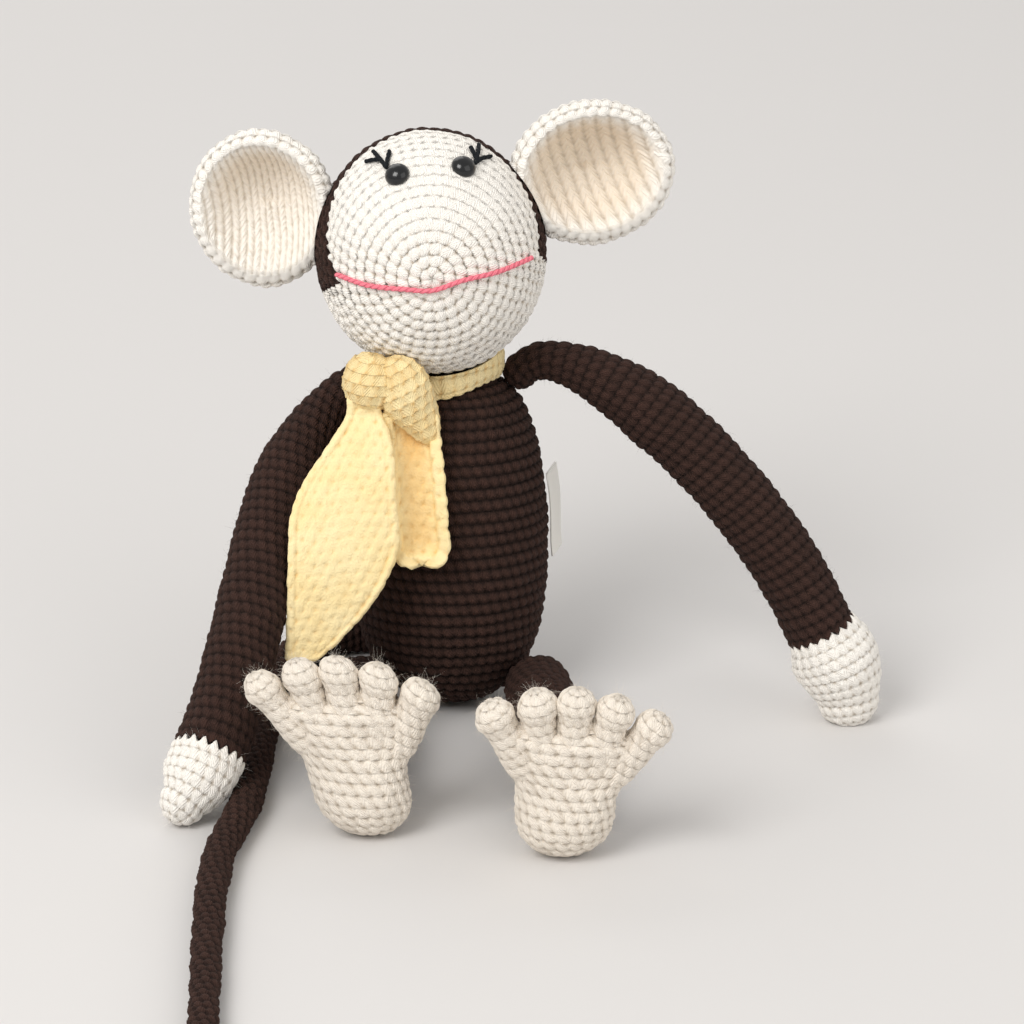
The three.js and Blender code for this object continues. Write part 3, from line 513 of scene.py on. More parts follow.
class Route:
    # a line with a frame that slides along it and runs on straight past both ends
    def __init__(self, points, up):
        self.points = points
        self.places = lengths(points)
        self.length = self.places[-1]
        self.along = unit(np.gradient(points, self.places, axis=0))
        self.side = unit(np.cross(self.along, up))

    def at(self, place):
        # point, direction and side, with the side squared up to the direction
        place = np.asarray(place, float)
        inside = np.clip(place, 0, self.length)
        point, along, side = [
            np.stack([np.interp(inside, self.places, column) for column in field.T], -1)
            for field in (self.points, self.along, self.side)]
        along = unit(along)
        side = unit(side - along * (side * along).sum(-1, keepdims=True))
        return point + along * (place - inside)[..., None], along, side

    def rings(self, places, radii, turns):
        # circles round the line: the cosine of each turn times the side and the sine times the
        # direction square to it. places and radii are a list, or a grid with a column for each turn
        if np.ndim(places) < 2:
            places = np.repeat(np.asarray(places)[:, None], len(turns), 1)
        if np.ndim(radii) < 2:
            radii = np.asarray(radii)[:, None]
        point, along, side = self.at(places)
        over = np.cross(along, side)
        angle = 2 * np.pi * turns[:, None]
        return point + radii[..., None] * (np.cos(angle) * side + np.sin(angle) * over)


fabric = {"step": 0.55, "floorGap": 0.2, "teethReach": 3.5}


def limb(route, outline, look, columns, seed, teeth=None):
    # a round sleeve: outline is (place, radius) from pole to pole, teeth is (place, height, count)
    # and pulls the sleeve's edge there into a saw-tooth
    outline = spread(np.array(outline, float), fabric["step"])
    turns = turnsAround(columns)
    along = lengths(outline)
    girth = (along, 2 * np.pi * outline[:, 1])
    places = np.repeat(outline[:, :1], columns, 1)
    if teeth:
        place, height, count = teeth
        near = np.clip(1 - np.abs(outline[:, 0] - place) / fabric["teethReach"], 0, 1)[:, None]
        saw = (np.abs((turns * count) % 1 - 0.5) * 2 - 0.5) * height
        places = places + near * saw
    smoothGrid = route.rings(places, outline[:, 1], turns)
    points, relief, twist = crochet(smoothGrid, along, girth, turns, look, seed)
    points[..., 2] = np.maximum(points[..., 2], fabric["floorGap"])
    return shell(points, relief, twist)


def capOutline(place, radius, end, steps=14):
    # quarter circle that closes a sleeve at its start (end -1) or at its tip (end +1)
    angle = np.linspace(0, np.pi / 2, steps)
    pairs = np.stack([place + end * radius * np.cos(angle), radius * np.sin(angle)], 1)
    return pairs if end < 0 else pairs[::-1]


# Torso: a profile carried round the body's own axis, then leant back.

body = {
    "height": 118.0, "radius": 34.8, "widest": 56.0, "shoulder": 93.0, "neckRadius": 13.0,
    "neckTop": 125.0, "lean": 8.0, "seatFlat": 0.5, "headGap": 0.8, "floorGap": 0.25,
    "columns": 420,
}


def bodyCurves():
    # the profile as (radius, height): two cubic curves that meet at the widest place
    r, h, wide = body["radius"], body["height"], body["widest"]
    low = bezier([(0, 0), (r * 0.74, 0), (r, wide * 0.36), (r, wide)])
    high = bezier([(r, wide), (r, body["shoulder"]), (r * 0.8, h - 2), (body["neckRadius"], h)])
    return low, high


lowCurve, highCurve = bodyCurves()
leanCos = math.cos(math.radians(body["lean"]))
leanSin = math.sin(math.radians(body["lean"]))
drops = lowCurve[:, 1] * leanCos - lowCurve[:, 0] * leanSin
seatBack = float(lowCurve[drops.argmin(), 0] * leanCos + lowCurve[drops.argmin(), 1] * leanSin)
torsoTurn = rotation("X", -body["lean"])
torsoPlace = np.array([0, -seatBack, -(drops.min() + body["seatFlat"])])

head = {
    "half": np.array([40.0, 41.0, 42.6]), "centre": np.array([-5.9, 12 - seatBack, 163.8]),
    "pitch": 5.5, "roll": 6.0, "yaw": 2.0,
    "brow": 90.0, "templeRight": 52.5, "templeLeft": 68.0, "chin": 104.0, "lowEdge": 12.0,
    "columns": 460, "crowd": 3.5, "crowdReach": 11.0, "toothWidth": 3.95, "toothHeight": 3.4,
    "roundRadius": 41.2, "worn": 0.5, "foldIn": 0.92,
}
headTurn = (rotation("Z", head["yaw"]) @ rotation("Y", -head["roll"])
            @ rotation("X", -head["pitch"]))


def onTorso(points):
    # from the body's own upright axis to its place on the seat
    return points @ torsoTurn.T + torsoPlace


def onHeadFrame(points):
    # from the head's own centre and turn to the frame
    return points @ headTurn.T + head["centre"]


def outsideHead(points, gap):
    # moves what lies inside the head straight out of it
    local = (points - head["centre"]) @ headTurn
    size = head["half"] + gap
    reach = np.linalg.norm(local / size, axis=-1, keepdims=True)
    return onHeadFrame(local * np.maximum(1 / np.maximum(reach, 1e-6), 1))


def buildTorso():
    # the profile and a plain neck, carried round the body's axis and cleared of the head and of
    # the ground
    neck = [(body["neckRadius"], body["height"] + 2), (body["neckRadius"], body["neckTop"]),
            (0, body["neckTop"])]
    outline = spread(np.concatenate([lowCurve, highCurve[1:], neck]), fabric["step"])
    turns = turnsAround(body["columns"])
    along = lengths(outline)
    grid = revolve(outline[:, :1], outline[:, :1], outline[:, 1:], turns)
    points, relief, twist = crochet(onTorso(grid), along, (along, 2 * np.pi * outline[:, 0]),
                                    turns, stitchLooks["body"], 3)
    points = outsideHead(points, body["headGap"])
    points[..., 2] = np.maximum(points[..., 2], body["floorGap"])
    piece = addPiece("torsoSkin", [shell(points, relief, twist)], yarns["brown"])
    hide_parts("body_shell", "body_stuffing")
    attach(piece, "torso")


buildTorso()
print("torso is in")


# Head: an oval in two colours that meet at a saw-toothed edge.

def colourEdge(turnDegrees):
    # degrees from the snout to the brown hood: an oval round the face, then back under the chin
    height = np.sin(np.radians(turnDegrees))
    temple = np.where(np.cos(np.radians(turnDegrees)) > 0, head["templeLeft"], head["templeRight"])
    hood = mix(temple, head["brow"], np.maximum(height, 0))
    low, high = [math.sin(math.radians(head["lowEdge"] + side)) for side in (-10, 10)]
    return mix(hood, head["chin"], smooth(-height, low, high))


def onHead(roundDegrees, turnDegrees, lift=0.0):
    # the ray that leaves the snout's line by the round and circles it by the turn, out to the oval
    a, b = np.radians(roundDegrees), np.radians(turnDegrees)
    ray = np.stack(np.broadcast_arrays(np.sin(a) * np.cos(b), -np.cos(a),
                                       np.sin(a) * np.sin(b)), -1)
    return ray / np.linalg.norm(ray / (head["half"] + lift), axis=-1, keepdims=True)


def headColumns():
    # turns in degrees, which crowd by bell curves where the hood's edge runs back below the ears
    fine = np.linspace(0, 360, 3601)
    middles = (360 - head["lowEdge"], 180 + head["lowEdge"])
    bells = [np.exp(-((fine - middle) / head["crowdReach"]) ** 2) for middle in middles]
    crowd = 1 + head["crowd"] * np.maximum(*bells)
    return np.interp(turnsAround(head["columns"]), np.cumsum(crowd) / crowd.sum(), fine)


def toothedEdge(degrees):
    # the hood's edge with one tooth for each stitch: a triangle wave on the distance along it
    edge = colourEdge(degrees)
    rim = onHead(edge, degrees)
    travelled = lengths(np.concatenate([rim, rim[:1]]))
    teeth = round(travelled[-1] / head["toothWidth"])
    phase = travelled[:-1] / travelled[-1] * teeth
    return edge + (np.abs(phase % 1 - 0.5) * 2 - 0.5) * head["toothHeight"]


def buildHead():
    # rounds are worked from the snout to the edge in cream and from there to the back in brown
    degrees = headColumns()
    edge = toothedEdge(degrees)
    radius = head["roundRadius"]
    distances = np.radians(np.linspace(0, 180, 181))
    girth = (distances * radius, 2 * np.pi * radius * np.sin(distances))
    blank = np.zeros((2, head["columns"]))
    for name, colour, rows, nodes in (
            ("faceSkin", "cream", 132, ("face_shell",)),
            ("headBackSkin", "brown", 150, ("head_back_shell", "head_stuffing"))):
        isFace = name == "faceSkin"
        share = np.linspace(0, 1, rows)[:, None]
        rounds = share * edge if isFace else mix(edge, 180.0, share)
        smoothHead = onHead(rounds, degrees)
        worn = head["worn"] * smooth(smoothHead[..., 2], 6, 22) if isFace else 0.0
        points, relief, twist = crochet(smoothHead, np.radians(rounds) * radius, girth,
                                        degrees / 360, stitchLooks["head"], 5,
                                        unit(smoothHead / head["half"] ** 2), worn)
        # the open edge folds in and closes at the head's middle
        fold = points[-1 if isFace else 0] * head["foldIn"]
        parts = [(points, np.stack([fold, fold * 0])), (relief, blank), (twist, blank)]
        if not isFace:
            parts = [(core[::-1], field) for field, core in parts]
        points, relief, twist = [np.concatenate(part) for part in parts]
        piece = addPiece(name, [shell(onHeadFrame(points), relief, twist)], yarns[colour])
        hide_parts(*nodes)
        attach(piece, "head")


buildHead()
print("head is in")

eyes = {
    "right": {"round": 54.2, "turn": 103.3},
    "left": {"round": 58.6, "turn": 66.0},
}
eyeShape = {"radius": 4.3, "dome": 3.4, "sink": 1.0, "shankRadius": 1.5, "shankEnd": -6.0}


def standOn(points, roundDegrees, turnDegrees):
    # turns points about +Z so that they stand on the head at a place
    foot = onHead(np.array(roundDegrees), np.array(turnDegrees))
    normal = foot / head["half"] ** 2
    normal = normal / np.linalg.norm(normal)
    side = unit(np.cross([0, 0, 1.0], normal))
    basis = np.stack([side, np.cross(normal, side), normal])
    return onHeadFrame(points @ basis + foot)


def buildEyes():
    # a quarter ellipse over a narrow shank, carried round
    radius, sink = eyeShape["radius"], eyeShape["sink"]
    shank, low = eyeShape["shankRadius"], eyeShape["shankEnd"]
    angle = np.linspace(0, np.pi / 2, 18)
    outline = np.concatenate([
        [(0, low), (shank, low), (shank, -sink), (radius * 0.8, -sink)],
        np.stack([radius * np.cos(angle), 0.3 + eyeShape["dome"] * np.sin(angle)], 1)])
    grid = revolve(outline[:, :1], outline[:, :1], outline[:, 1:], turnsAround(48))
    blank = np.zeros(grid.shape[:2])
    for side, eye in eyes.items():
        dome = shell(standOn(grid, eye["round"], eye["turn"]), blank, blank)
        piece = addPiece(f"eye{side.title()}", [dome], eyeGloss)
        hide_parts(f"eye_{side}")
        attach(piece, "head")
        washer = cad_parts[f"eye_washer_{side}"].data.materials
        washer.clear()
        washer.append(washerPlastic)


buildEyes()


def catmullRom(corners, steps=24):
    # smooth cubic through the corners, whose slope at each is half the step between its neighbours
    corners = np.array(corners, float)
    padded = np.concatenate([[2 * corners[0] - corners[1]], corners,
                             [2 * corners[-1] - corners[-2]]])
    share = np.linspace(0, 1, steps, endpoint=False)[:, None]
    parts = []
    for before, start, end, after in zip(padded, padded[1:], padded[2:], padded[3:]):
        parts.append(0.5 * (2 * start + (end - before) * share
                            + (2 * before - 5 * start + 4 * end - after) * share ** 2
                            + (3 * start - before - 3 * end + after) * share ** 3))
    return np.concatenate([*parts, corners[-1:]])


sewnYarn = {"lift": 0.9, "plies": 2, "pitch": 5.0}


def strand(places, thickness):
    # a twisted yarn laid on the head along places (round, turn): each ply bulges as the size of a
    # sine that winds round once in a pitch
    corners = [onHead(np.array(a), np.array(b), sewnYarn["lift"]) for a, b in places]
    route = Route(onHeadFrame(catmullRom(corners)), headTurn @ np.array([0, -1.0, 0]))
    radius = thickness / 2 * 0.8
    outline = spread(np.concatenate([capOutline(0, radius, -1, 5),
                                     capOutline(route.length, radius, 1, 5)]), 0.25)
    turns = turnsAround(20)
    angle = 2 * np.pi * turns
    wound = angle + 2 * np.pi * outline[:, :1] / sewnYarn["pitch"]
    wave = np.abs(np.sin(wound * sewnYarn["plies"] / 2))
    radii = outline[:, 1:] * (0.84 + 0.3 * wave)
    grid = route.rings(outline[:, 0], radii, turns)
    return shell(grid, wave * 0.8 + 0.1, angle * 6 + outline[:, :1] * 6)


lashThickness = 1.75
lashes = {
    "right": [[[60.7, 107.8], [64.9, 106.2], [70.8, 104.1]],
              [[60.7, 107.8], [67.9, 109.4], [77.7, 111.6]],
              [[68.3, 109.9], [70.4, 112.8], [72.8, 116.4]]],
    "left": [[[63.2, 60.7], [71.7, 60.5], [81, 60.8]],
             [[63.2, 60.7], [69.2, 58], [75.3, 53.9]],
             [[67.4, 60.8], [71.5, 63.1], [74.3, 64.4]]],
}
mouth = {
    "places": [[51.5, 177.5], [31.4, 183.2], [13, 197], [5.3, 268.9], [14.4, 349.5],
               [32.9, 356.1], [56.2, 358.5]],
    "thickness": 2.0,
}


def buildFace():
    # three sewn strands over each eye and one for the mouth
    for side, places in lashes.items():
        piece = addPiece(f"lashes{side.title()}", [strand(one, lashThickness) for one in places],
                         yarns["black"])
        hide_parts(f"lashes_{side}")
        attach(piece, "head")
    piece = addPiece("mouthStrand", [strand(mouth["places"], mouth["thickness"])],
                     yarns["pink"])
    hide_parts("mouth_strand")
    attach(piece, "head")


buildFace()
print("face is in")


# Ears.

# shade is how strongly the inside of each cup is tinted darker and warmer as painted shade, low
# down and high up
earShapes = {
    "left": {"sign": 1, "width": 58.5, "height": 50.7, "out": 58.2, "up": 20.8,
             "columnLean": 14.0, "strands": 1, "shade": (0.75, 1.0)},
    "right": {"sign": -1, "width": 51.5, "height": 55.7, "out": 56.0, "up": 21.0,
              "columnLean": 0.0, "strands": 2, "shade": (0.15, 0.7)},
}
earMake = {"cup": 12.0, "rim": 4.8, "ribDepth": 1.3, "wall": 2.2, "back": 3.0, "yaw": 8.0,
           "flex": 8.0, "column": 4.5, "ribRow": 4.2, "headSink": 0.5, "columns": 340}


def earGrid(ear):
    # a cup with a thick rolled rim: its depth falls with the share of the way to the rim, the rim
    # is half a circle that falls back inwards into the cup, and the back is domed
    angle = 2 * np.pi * turnsAround(earMake["columns"])
    rim = earMake["rim"]
    edge = 1 / np.hypot(np.cos(angle) / (ear["width"] / 2), np.sin(angle) / (ear["height"] / 2))
    share = np.linspace(0, 1, 60)[:, None]
    roll = np.radians(np.linspace(-90, 90, 30))[1:-1, None]
    inner = share * (edge - rim)
    fall = smooth(edge - rim - inner, 0, 2.2 * rim)
    cup = earMake["cup"] * (1 - (inner / (edge - rim)) ** 2.6)
    deepest = 1 + 0.16 * np.sin(angle) * (1 - share)
    front = [inner, cup * deepest - rim * (1 - fall)]
    around = [edge - rim + rim * np.cos(roll), rim * np.sin(roll) + 0 * edge]
    behind = [(1 - share) * (edge - rim),
              mix(rim, earMake["cup"] + earMake["wall"] * 2, 1 - (1 - share) ** 2.2)]
    reach, depth = [
        np.concatenate([np.broadcast_to(part[k], (len(part[0]), len(angle)))
                        for part in (front, around, behind)]) for k in (0, 1)]
    return np.stack([reach * np.cos(angle), depth, reach * np.sin(angle)], -1), reach


def earRibs(grid, ear):
    # inside the cup the stitches stand in upright columns, which lean with the ear
    lean = math.tan(math.radians(ear["columnLean"]))
    rise = grid[..., 2] / earMake["ribRow"]
    across = (grid[..., 0] + lean * grid[..., 2]) / earMake["column"] + 0.3
    relief, twist = ribShape(across, rise, ear["strands"])
    uneven = np.random.default_rng(17).random((64, 64))
    cells = uneven[np.floor(across).astype(int) % 64, np.floor(rise).astype(int) % 64]
    return relief * (1 - 0.25 * cells), twist


def besideHead(points, ear):
    # at each limit of the ear's flex about its root, what lies inside the head's oval is moved
    # straight sideways to the oval
    level = math.sqrt(1 - (ear["up"] / head["half"][2]) ** 2)
    root = np.array([ear["sign"] * head["half"][0] * level, earMake["back"], ear["up"]])
    size = head["half"] - earMake["headSink"]
    for degrees in (-earMake["flex"], 0, earMake["flex"]):
        spin = rotation("Z", degrees)
        local = (points - root) @ spin.T + root
        away = (local[..., 1] / size[1]) ** 2 + (local[..., 2] / size[2]) ** 2
        spare = np.sqrt(np.clip(1 - away, 0, 1)) * size[0]
        local[..., 0] = ear["sign"] * np.maximum(ear["sign"] * local[..., 0], spare)
        points = (local - root) @ spin + root
    return points


def buildEar(side, ear):
    # rounds on the rim and the back, columns in the cup, mixed along the way between them
    grid, reach = earGrid(ear)
    steps = np.linalg.norm(np.diff(grid, axis=0), axis=-1).mean(1)
    along = np.concatenate([[0], np.cumsum(steps)])
    normal = outward(grid)
    normal = normal * (-1 if (grid * normal)[60:90].sum() < 0 else 1)  # outwards at the rim
    points, relief, twist = crochet(grid, along, (along, 2 * np.pi * reach.mean(1)),
                                    turnsAround(earMake["columns"]), stitchLooks["rim"], 11,
                                    normal)
    ribbed, ribTwist = earRibs(grid, ear)
    dish = (1 - smooth(along, along[55], along[64]))[:, None]
    dished = grid + normal * ((ribbed - 0.6) * earMake["ribDepth"])[..., None]
    points = mix(points, dished, dish[..., None])
    relief, twist = mix(relief, ribbed, dish), mix(twist, ribTwist, dish)
    place = [ear["sign"] * ear["out"], earMake["back"], ear["up"]]
    turned = points @ rotation("Z", ear["sign"] * earMake["yaw"]).T + place
    # painted shade: the cup's bottom is tinted darker and warmer, the more so towards its top, in
    # the shade under the rim
    tone = (1 - smooth(along, along[40], along[62]))[:, None]
    tone = tone * mix(*ear["shade"], smooth(grid[..., 2], -12, 18))
    made = shell(onHeadFrame(besideHead(turned, ear)), relief, twist, tone)
    piece = addPiece(f"ear{side.title()}", [made], yarns["cream"])
    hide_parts(f"ear_{side}")
    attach(piece, f"{side}_ear")


for earSide, earShape in earShapes.items():
    buildEar(earSide, earShape)
print("ears are in")


# Arms.

arm = {
    "radius": 12.3, "topRadius": 6.3, "length": 186.0, "handLength": 32.0, "tipRadius": 8.2,
    "handSwell": 2.0, "handEnd": 9.3, "elbowShare": 0.46, "shoulder": 114.3, "blend": 15.0,
    "fullBy": 0.72, "toothHeight": 2.4, "teeth": 19, "seamGap": 0.2,
    "left": {"leave": (0.606, -0.239, 0.759), "share": 0.482, "hand": (0.7371, -0.0962),
             "arrive": (0.132, -0.082, -0.988), "turn": 0.0, "cuffDown": -2.8, "bow": 1.4,
             "ease": 0.5, "sway": 0.0, "slim": -1.7, "tipAside": 3.4},
    "right": {"leave": (-0.882, 0.1, -0.461), "share": 0.956, "hand": (-0.4731, -0.5538),
              "arrive": (-0.534, -0.539, -0.651), "turn": 180.0, "cuffDown": 5.0, "bow": 3.4,
              "ease": 0.0, "sway": 2.6, "slim": 1.2, "tipAside": 0.0},
}
handFuzz = {"hairs": 700, "reach": 2.0, "thickness": 0.05}
sleeveFuzz = {"hairs": 1300, "reach": 1.6, "thickness": 0.05}
sewnGap = 0.4
bodyFacet = body["radius"] * (1 - math.cos(math.pi / 24))
heights = np.concatenate([lowCurve[:, 1], highCurve[1:, 1]])
halfWidths = np.concatenate([lowCurve[:, 0], highCurve[1:, 0]])


def bodyWidth(height):
    # the body's radius at a height on its own axis
    return float(np.interp(height, heights, halfWidths))


def ballOnBody(height, turnDegrees, ball):
    # centre of a ball that just touches the body at a height on its own axis
    slope = bodyWidth(height + 0.5) - bodyWidth(height - 0.5)
    turn = math.radians(turnDegrees)
    out = np.array([math.cos(turn), math.sin(turn), 0])
    normal = unit(np.array([out[0], out[1], -slope])) @ torsoTurn.T
    foot = onTorso(out * bodyWidth(height) + [0, 0, height])
    return foot + normal * (ball + sewnGap - bodyFacet)


def ballOnGround(turnDegrees, ball):
    # the height on the body is halved down to where such a ball also rests on the ground
    low, high = 1.0, body["widest"]
    for _ in range(40):
        half = (low + high) / 2
        if ballOnBody(half, turnDegrees, ball)[2] < ball:
            low = half
        else:
            high = half
    return ballOnBody(low, turnDegrees, ball)


def armRoute(shape):
    # a cubic curve from the shoulder to the hand, whose length is halved down to the asked one,
    # then bent sideways by a half wave and a full wave
    start = ballOnBody(arm["shoulder"], shape["turn"], arm["topRadius"])
    end = np.array([shape["hand"][0] * arm["length"], shape["hand"][1] * arm["length"] - seatBack,
                    arm["tipRadius"]])
    leave, arrive = unit(np.array(shape["leave"])), unit(np.array(shape["arrive"]))
    low, high = 5.0, arm["length"]
    for _ in range(40):
        reach = (low + high) / 2
        corners = [start, start + leave * reach * shape["share"], end - arrive * reach, end]
        line = bezier(corners, 401)
        if lengths(line)[-1] < arm["length"] - arm["tipRadius"]:
            low = reach
        else:
            high = reach
    flat = np.linalg.svd(line - line.mean(0))[2][2]
    share = np.linspace(0, np.pi, 401)
    bend = shape["bow"] * np.sin(share) + shape["sway"] * np.sin(2 * share)
    line[:, 0] -= bend * smooth(share, -0.2, shape["ease"])
    line[:, 0] += shape["tipAside"] * smooth(share, 0.83 * np.pi, np.pi)
    return Route(line, flat)


def buildSleeve(side, route, wrist, teeth):
    # a brown tube whose radius grows along a smooth step from the shoulder towards the elbow
    elbow = route.length * arm["elbowShare"]
    places = np.linspace(0, wrist, 80)
    radii = mix(arm["topRadius"], arm["radius"], smooth(places, 0, elbow * arm["fullBy"]))
    end = wrist - arm["seamGap"]
    outline = np.concatenate([capOutline(0, arm["topRadius"], -1),
                              np.stack([places, radii], 1)[1:],
                              [(end, arm["radius"] - 3), (end, 0)]])
    sleeve = limb(route, outline, stitchLooks["limb"], 152, 21, teeth)
    piece = addPiece(f"arm{side.title()}", [sleeve, fuzz(sleeve[0], sleeveFuzz, 23)],
                     yarns["brown"])
    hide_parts(f"upper_arm_{side}", f"upper_arm_stuffing_{side}", f"forearm_{side}")
    start, end = [route.at(elbow + by)[0] * mm for by in (-arm["blend"], arm["blend"])]
    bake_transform(piece)


def buildHand(side, route, wrist, teeth):
    # the cream end of the sleeve: its radius falls by a power of the share of its length and is
    # fuller in its middle by half a wave
    slim = arm[side]["slim"]
    places = np.linspace(wrist, route.length, 40)
    share = (places - wrist) / (route.length - wrist)
    swell = arm["handSwell"] * np.sin(np.pi * share)
    radii = mix(arm["radius"], arm["handEnd"], share ** 1.8) + swell - slim * smooth(share, 0, 0.4)
    start = wrist + arm["seamGap"]
    outline = np.concatenate([[(start, 0), (start, arm["radius"] - 3)],
                              np.stack([places, radii], 1),
                              capOutline(route.length, arm["handEnd"] - slim, 1)[1:]])
    hand = limb(route, outline, stitchLooks["hand"], 170, 22, teeth)
    piece = addPiece(f"hand{side.title()}", [hand, fuzz(hand[0], handFuzz, 24)],
                     yarns["cream"])
    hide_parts(f"hand_{side}", f"forearm_stuffing_{side}")
    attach(piece, f"{side}_forearm")


def buildArm(side):
    # sleeve and hand share one line, and one saw-toothed seam at the wrist
    route = armRoute(arm[side])
    wrist = route.length - (arm["handLength"] - arm["tipRadius"]) + arm[side]["cuffDown"]
    teeth = (wrist, arm["toothHeight"], arm["teeth"])
    buildSleeve(side, route, wrist, teeth)
    buildHand(side, route, wrist, teeth)


for armSide in ("left", "right"):
    buildArm(armSide)
print("arms are in")


# Legs and feet.

leg = {
    "radius": 12.6, "ankle": 10.6, "thigh": 2.4, "rootGap": 0.7,
    "left": {"turn": -36.0, "heel": (38.1, -125.4), "toesAside": 5.0, "slant": 0.0,
             "lean": -6.0},
    "right": {"turn": -144.0, "heel": (-25.4, -111.1), "toesAside": 3.0, "slant": -0.22,
              "lean": 2.0},
}
foot = {
    "length": 64.0, "heelHalfWidth": 16.5, "ballHalfWidth": 25.5, "heelHalfDepth": 11.5,
    "ballHalfDepth": 7.5, "toeRadius": 6.4, "toeSpread": 25.5, "toeArc": 6.5, "bounceTint": 0.5,
    "toeSwell": 0.3, "padTop": 0.86,
    "padFuzz": {"hairs": 1000, "reach": 2.3, "thickness": 0.05},
    "toeFuzz": {"hairs": 360, "reach": 2.6, "thickness": 0.05},
}


def footPad():
    # rings from the heel up to the toes; wide and deep follow the share of the foot's height
    tall = foot["length"] - foot["toeRadius"]
    share = np.linspace(0, foot["padTop"], 400)
    heelRound = np.sqrt(np.clip(1 - (1 - np.clip(share / 0.24, 0, 1)) ** 2, 0, 1))
    closing = np.clip((share - foot["padTop"] + 0.12) / 0.12, 0, 1)
    topRound = np.sqrt(np.clip(1 - closing ** 2, 0, 1))
    ends = heelRound * topRound
    wide = mix(foot["heelHalfWidth"], foot["ballHalfWidth"], smooth(share, 0.38, 0.76)) * ends
    deep = mix(foot["heelHalfDepth"], foot["ballHalfDepth"], smooth(share, 0.2, 0.7)) * ends
    outline = spread(np.stack([share * tall, wide, deep], 1), 0.6)
    turns = turnsAround(210)
    grid = revolve(outline[:, 1:2], outline[:, 2:], outline[:, :1] + fabric["floorGap"], turns)
    along = lengths(outline[:, [0, 2]])
    girth = (along, 2 * np.pi * np.sqrt((outline[:, 1] ** 2 + outline[:, 2] ** 2) / 2))
    return crochet(grid, along, girth, turns, stitchLooks["foot"], 31)


def footToe(i):
    # a ball on a short neck: its radius follows the cosine from the neck to the pole
    tall = foot["length"] - foot["toeRadius"]
    share = i / 2 - 1
    aside = share * foot["toeSpread"]
    centre = np.array([aside, -1, tall - foot["toeArc"] * share * share - 0.5])
    root = np.array([aside * 0.6, 0, tall * 0.58])
    route = Route(np.linspace(root, centre, 12), np.array([0, 1.0, 0]))
    radius = foot["toeRadius"] + foot["toeSwell"]
    swell = np.radians(np.linspace(-27, 90, 24))
    ball = np.stack([route.length + radius * np.sin(swell), radius * np.cos(swell)], 1)
    outline = spread(np.concatenate([capOutline(0, radius * 0.86, -1), ball]), 0.4)
    along = lengths(outline)
    turns = turnsAround(66)
    grid = route.rings(outline[:, 0], outline[:, 1], turns)
    girth = (along, 2 * np.pi * outline[:, 1])
    return crochet(grid, along, girth, turns, stitchLooks["toe"], 40 + i)


def buildLeg(side, hip, ankle):
    # a straight tube from the hip to the ankle, fuller in the thigh by half a wave
    route = Route(np.linspace(hip, ankle, 61), np.array([0, 0, 1.0]))
    places = np.linspace(0, route.length, 40)
    radii = mix(leg["radius"], leg["ankle"] + 0.6, smooth(places, 0, route.length))
    radii = radii + leg["thigh"] * np.sin(np.pi * smooth(places / route.length, 0.14, 0.86))
    radii = radii - leg["rootGap"] * (1 - smooth(places, 0, 14))
    end = route.length + 1.5
    outline = np.concatenate([capOutline(0, leg["radius"] - leg["rootGap"], -1),
                              np.stack([places, radii], 1)[1:],
                              [(end, leg["ankle"] - 1), (end, 0)]])
    piece = addPiece(f"leg{side.title()}", [limb(route, outline, stitchLooks["limb"], 160, 25)],
                     yarns["brown"])
    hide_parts(f"leg_{side}", f"leg_stuffing_{side}")
    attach(piece, f"{side}_leg")
    return route


def buildFoot(side, shape, heel, ankle, along):
    # pad, toes and the ball of the ankle, slanted and turned as the foot stands
    slanted = np.eye(3) + np.outer([1, 0, 0], [0, 0, shape["slant"]])
    turned = rotation("X", -shape["lean"]) @ rotation("Y", shape["toesAside"]) @ slanted
    shells = []
    for i, (points, relief, twist) in enumerate([footPad(), *[footToe(i) for i in range(5)]]):
        placed = points @ turned.T + heel
        placed[..., 2] = np.maximum(placed[..., 2], fabric["floorGap"])
        # painted bounce light: the pad, the toes and their fuzz are tinted half way to the yarn's
        # darker, warmer tint
        worked = shell(placed, relief, twist, foot["bounceTint"])
        hairs = fuzz(worked[0], foot["toeFuzz" if i else "padFuzz"], 70 + i, foot["bounceTint"])
        shells += [worked, hairs]
    radius = leg["ankle"] - 0.6
    ballLine = Route(np.stack([ankle - along, ankle + along]), np.array([0, 0, 1.0]))
    ballShape = np.concatenate([capOutline(1, radius, -1), capOutline(1, radius, 1)[1:]])
    shells.append(limb(ballLine, ballShape, stitchLooks["foot"], 96, 33))
    piece = addPiece(f"foot{side.title()}", shells, yarns["cream"])
    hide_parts(f"foot_{side}")
    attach(piece, f"{side}_foot")


def buildLegAndFoot(side):
    # the hip's ball touches the body and the ground, the ankle stands behind the heel
    shape = leg[side]
    hip = ballOnGround(shape["turn"], leg["radius"])
    heel = np.array([shape["heel"][0], shape["heel"][1] - seatBack, 0])
    ankle = heel + [0, foot["heelHalfDepth"] + 3, leg["radius"] + 1]
    route = buildLeg(side, hip, ankle)
    buildFoot(side, shape, heel, ankle, route.along[0])


for legSide in ("left", "right"):
    buildLegAndFoot(legSide)
print("legs and feet are in")


# Tail.

tail = {
    "rootRadius": 6.6, "tipRadius": 4.6, "rootTurn": 108.0, "joints": (0.36, 0.68),
    "ground": [[-34, 41], [-54, 27], [-62, 2], [-64.5, -31], [-65.6, -62], [-66.4, -84],
               [-67.4, -99], [-70.6, -117], [-74, -137], [-75, -167], [-74, -206],
               [-72.6, -240], [-72, -264]],
    "blend": 21.0, "lift": 0.2,
}


